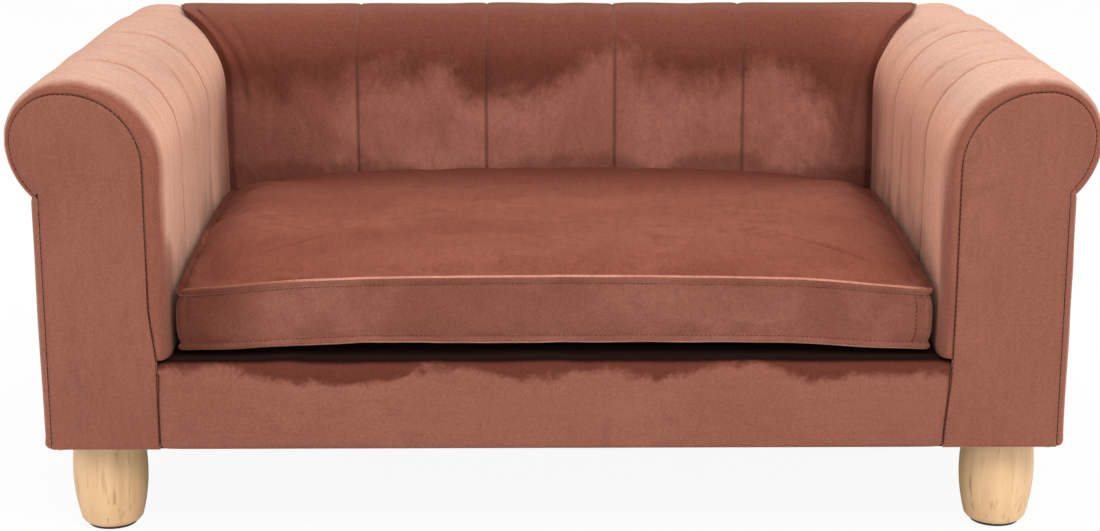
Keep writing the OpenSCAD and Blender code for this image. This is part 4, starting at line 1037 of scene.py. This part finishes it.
def cushion_rings():
    """The cushion's skin as rings from the middle of the bottom up round the edge to the middle of the top."""
    rings, tags = [], []

    def add(pts, tag):
        rings.append(pts)
        tags.append(tag)

    for inset in (120, 90, 65, 45, 32):
        add(cushion_level(inset, 126.5, 0), "bottom")
    for inset, z, bow in ((22, 128.2, 0.2), (14, 130.0, 0.4), (9, 130.9, 0.5), (6.5, 131.3, 0.5)):
        add(cushion_level(inset, z, bow, dip=2.4 * (bow - 0.2) / 0.3), "bottom")
    # The lower flange: the two cloths sewn together along the edge
    for inset, z in ((5.0, 131.4), (3.7, 131.1), (2.9, 131.5), (2.5, 132.4), (2.5, 133.6), (2.9, 134.6), (3.5, 135.3)):
        add(cushion_level(inset, z, 0.5, 1.0, dip=2.4), "low_flange")
    add(cushion_level(4.5, 135.8, 0.5, 0.9, dip=2.2), "low_seam")
    # The boxing, with a slot along its rear side for the zip
    wall, lip, floor_ = 0, 1, 2
    for inset, z, part in ((3.5, 136.6, wall), (2.9, 140, wall), (2.5, 144.9, lip), (2.45, 145.8, floor_),
                           (2.4, 151.5, floor_), (2.45, 157.2, floor_), (2.5, 158.1, lip), (2.9, 164, wall),
                           (3.6, 167.3, wall)):
        t = (z - 135) / 33
        pts = cushion_level(inset, z, 0.5 + 0.5 * t, 0.5 * (1 - t), dip=2.2 * (1 - t))
        slot = ON_REAR & (np.abs(pts[:, 0]) < ZIP_X)
        if part != wall:
            pts[slot, 2] = z
        if part == floor_:
            pts[slot, 1] = ZIP_FLOOR
        add(pts, "boxing")
    add(cushion_level(4.6, 168.2, 1), "top_seam")
    for tag, places in (("top_flange", ((3.6, 169.0), (2.8, 170.2), (2.4, 171.8), (2.4, 173.0))),
                        ("ridge", ((2.8, 173.9), (3.5, 174.2), (4.3, 173.8), (5.2, 173.0)))):
        for inset, z in places:
            add(cushion_level(inset, z, 1, 0.35), tag)
    add(cushion_level(6.6, 172.3, 1, 0.3), "top_seam_in")
    for inset in (8.2, 10.5, 14, 19, 25, 32, 40, 50, 60, 72, 85, 98, 112, 125):
        t = (inset - 5) / (CROWN_RUN - 5)
        add(cushion_level(inset, TOP_Z + 0.4, 1 - t, 0, 1.6 * (1 - t), t), "top")
    return np.array(rings), tags


def cushion_mesh():
    """The skin's points and faces, the tag of each ring and how many points a ring has."""
    rings, tags = cushion_rings()
    count, n = rings.shape[:2]
    nx, ny = RING[:, 2], RING[:, 3]
    first = tags.index("top")
    # Wrinkles that run in from the edges of the top
    for i in range(first, count):
        p, k = rings[i], i - first
        along = np.where(np.abs(nx) > 0.5, p[:, 1], p[:, 0])
        pts = stack(along, i * 3.0, nx * 40 + ny * 90)
        still = 1 - 0.85 * smooth(p[:, 1], 20, 110)
        p[:, 2] += max(0.0, 1 - k / 9.0) * still * (0.7 * noise_at(pts, 0.055, 91) + 0.35 * noise_at(pts, 0.12, 93))
        p[:, 2] += 0.8 * still * noise_at(p * np.array([1, 1, 0]), 0.010, 95) * min(1, k / 5)
        sides = np.abs(nx) ** 2 * smooth(p[:, 1], CF, CF + 30) * (1 - smooth(p[:, 1], CR - 30, CR))
        p[:, 2] -= 1.5 * sides * max(0.0, 1 - k / 4.0) * (0.5 + noise_at(stack(along, 0.0, nx * 50), 0.16, 99))
    # The boxing's corner seams, and drag lines beside them
    for p, tag in zip(rings, tags):
        if tag in ("boxing", "low_seam", "top_seam"):
            for at, depth in ((-CORNER_SEAM_X, 0.9), (CORNER_SEAM_X, 1.3)):
                p[:, 1] += ON_FRONT * depth * np.exp(-((p[:, 0] - at) / 1.5) ** 2)
            drag = ON_FRONT * smooth(np.abs(p[:, 0]), 60, 235)
            sway = stack(p[:, 0] + (p[:, 2] - 150) * 1.6 * np.sign(p[:, 0]), 0.0, p[:, 2])
            p[:, 1] += 0.55 * drag * (1 + noise_at(sway, 0.075, 97)) * (1 if tag == "boxing" else 0.3)
    verts = [tuple(p) for p in rings.reshape(-1, 3)]
    faces = grid_faces(count, n, wrap=True)

    def close(ring_index, flip):
        """Closes the skin inside its first or last ring, with two smaller rings and a point."""
        centre = rings[ring_index].mean(axis=0)
        prev = [ring_index * n + k for k in range(n)]
        for t in (0.66, 0.33):
            cur = [len(verts) + k for k in range(n)]
            verts.extend(tuple(p * t + centre * (1 - t)) for p in rings[ring_index])
            for k in range(n):
                quad = (prev[k], prev[(k + 1) % n], cur[(k + 1) % n], cur[k])
                faces.append(quad[::-1] if flip else quad)
            prev = cur
        verts.append(tuple(centre))
        for k in range(n):
            tri = (prev[k], prev[(k + 1) % n], len(verts) - 1)
            faces.append(tri[::-1] if flip else tri)

    close(count - 1, False)
    close(0, True)
    return np.array(verts), faces, tags, n


v, f, tags, n_ring = cushion_mesh()
pin = np.zeros(len(v))
pin[:len(tags) * n_ring] = np.repeat([t not in ("boxing", "top") for t in tags], n_ring)
# The seams, the bottom and the cloth round the zip stay put
by_zip = (v[:, 1] > 115) & (np.abs(v[:, 0]) < ZIP_X + 8) & (v[:, 2] < 162)
pin[(v[:, 2] < 127) | by_zip] = 1.0
# The top may swell by 6 mm at the front and by 0.8 mm at the rear
swollen = settle("cushion_settle", v, f, pin, pressure=2.2, grow=0.02, cap=6.0 - 5.2 * smooth(v[:, 1], 10, 95))
obj = make("seat_cushion", swollen, f, "cushion", "cushion_velvet", M["seat"],
           ("cushion_foam", "cushion_top_panel", "cushion_boxing", "cushion_bottom_panel"), fill=0.8)
obj.data.materials.append(M["boxing"])
obj.data.materials.append(M["ridge"])
# The flanges' ridges get the painted highlight, on the front only
low_ridge = tags.index("low_flange")
for k, poly in enumerate(obj.data.polygons):
    row = k // n_ring
    if row < len(tags) - 1:
        ridge = "ridge" in tags[row:row + 2] or low_ridge <= row < low_ridge + 3
        if ridge and ON_FRONT[k % n_ring]:
            poly.material_index = 2
        elif tags[row] in ("boxing", "low_seam", "top_seam", "low_flange", "top_flange"):
            poly.material_index = 1
sub = obj.modifiers.new("smooth", "SUBSURF")
sub.levels = sub.render_levels = 1

# Stitches along both flanges, up the right corner seam and above and below the zip
rows = swollen[:len(tags) * n_ring].reshape(len(tags), n_ring, 3)
lines = []
for ring, tag in zip(rows, tags):
    if tag in ("top_seam", "low_seam"):
        pts = [Vector(p) for p in ring + stack(RING[:, 2] * 0.25, RING[:, 3] * 0.25, 0.0)]
        lines.append(pts + pts[:1])
column = int(np.argmin(np.abs(RING[:, 0] - CORNER_SEAM_X) + 1000 * ~ON_FRONT))
lines.append([Vector(ring[column]) + Vector((0, -0.2, 0))
              for ring, tag in zip(rows, tags) if tag in ("low_seam", "boxing", "top_seam")])
for z in (143.0, 160.0):
    lines.append([Vector((x, CR - 2.5, z)) for x in np.linspace(-194, 194, 60)])
stitches("cushion_stitches", lines, "cushion", "cushion_velvet", pitch=3.0, length=2.0)


# ------------------------------------------------------------------ camera, light and floor
cam_data = bpy.data.cameras.new("camera")
cam = add_object("camera", cam_data)
cam_data.sensor_width = 36
cam_data.lens = 36 * 2350 / 1100       # fitted to the photo: a focal length of 2350 of its 1100 pixels
cam_data.clip_start, cam_data.clip_end = 0.05, 50
cam.location = (-0.0165, -1.671, 0.572)
cam.rotation_euler = (math.radians(90 - 14.7), 0, math.radians(-0.52))
bpy.context.scene.camera = cam


def area_light(name, loc, target, size, power, colour=(1, 1, 1)):
    data = bpy.data.lights.new(name, "AREA")
    data.shape = "RECTANGLE"
    data.size, data.size_y = size
    data.energy = power
    data.color = colour
    obj = add_object(name, data)
    obj.location = loc
    obj.rotation_euler = (Vector(target) - Vector(loc)).to_track_quat("-Z", "Y").to_euler()


area_light("key", (0.9, -1.6, 1.9), (0, 0, 0.15), (1.5, 1.2), 30, (1, 0.98, 0.95))
area_light("fill", (-1.5, -1.5, 1.2), (0, 0, 0.15), (1.4, 1.2), 8, (0.98, 0.99, 1))
area_light("top", (0, 0.25, 2.0), (0, 0, 0.2), (2.2, 1.4), 18)

# White to the camera, a soft grey sky that brightens upwards for the cloth
world = bpy.data.worlds.new("studio")
bpy.context.scene.world = world
world.use_nodes = True
nt = world.node_tree
ray = node(nt, "LightPath").outputs
seen = math_node(nt, "MAXIMUM", ray["Is Glossy Ray"], ray["Is Transmission Ray"])
seen = math_node(nt, "MAXIMUM", ray["Is Camera Ray"], seen)
sky = node(nt, "SeparateXYZ", {0: node(nt, "TexCoord").outputs["Generated"]})
strength = map_range(nt, seen, 0.0, 1.0, map_range(nt, sky.outputs["Z"], 0.0, 0.6, 0.22, 0.72), 1.0)
plug(nt, nt.nodes["Background"].inputs["Strength"], strength)
plug(nt, nt.nodes["Background"].inputs["Color"], (1, 1, 1))

# The floor glows to the camera, so that it is white with a faint shadow
HALF, DROP = 6000.0, 0.4
corners = [(x * HALF, y * HALF, -DROP) for x, y in ((-1, -1), (1, -1), (1, 1), (-1, 1))]
floor = add_object("floor", new_mesh("floor", corners, [(0, 1, 2, 3)]))
mat, nt, bsdf = node_tree("floor_paper")
paper = mix(nt, noise_node(nt, tex_coord(nt), 3.0, 2.0), (0.93, 0.93, 0.93), (0.95, 0.95, 0.95))
surface(nt, bsdf, Base_Color=paper, Roughness=0.9, Specular_IOR_Level=0.0)
glow = node(nt, "Emission", {"Strength": 1.0})
share = math_node(nt, "MULTIPLY", node(nt, "LightPath").outputs["Is Camera Ray"], 0.93)
both = node(nt, "MixShader", {0: share, 1: bsdf.outputs[0], 2: glow.outputs[0]})
nt.links.new(both.outputs[0], nt.nodes["Material Output"].inputs["Surface"])
floor.data.materials.append(mat)

bpy.context.scene.view_settings.view_transform = "Standard"
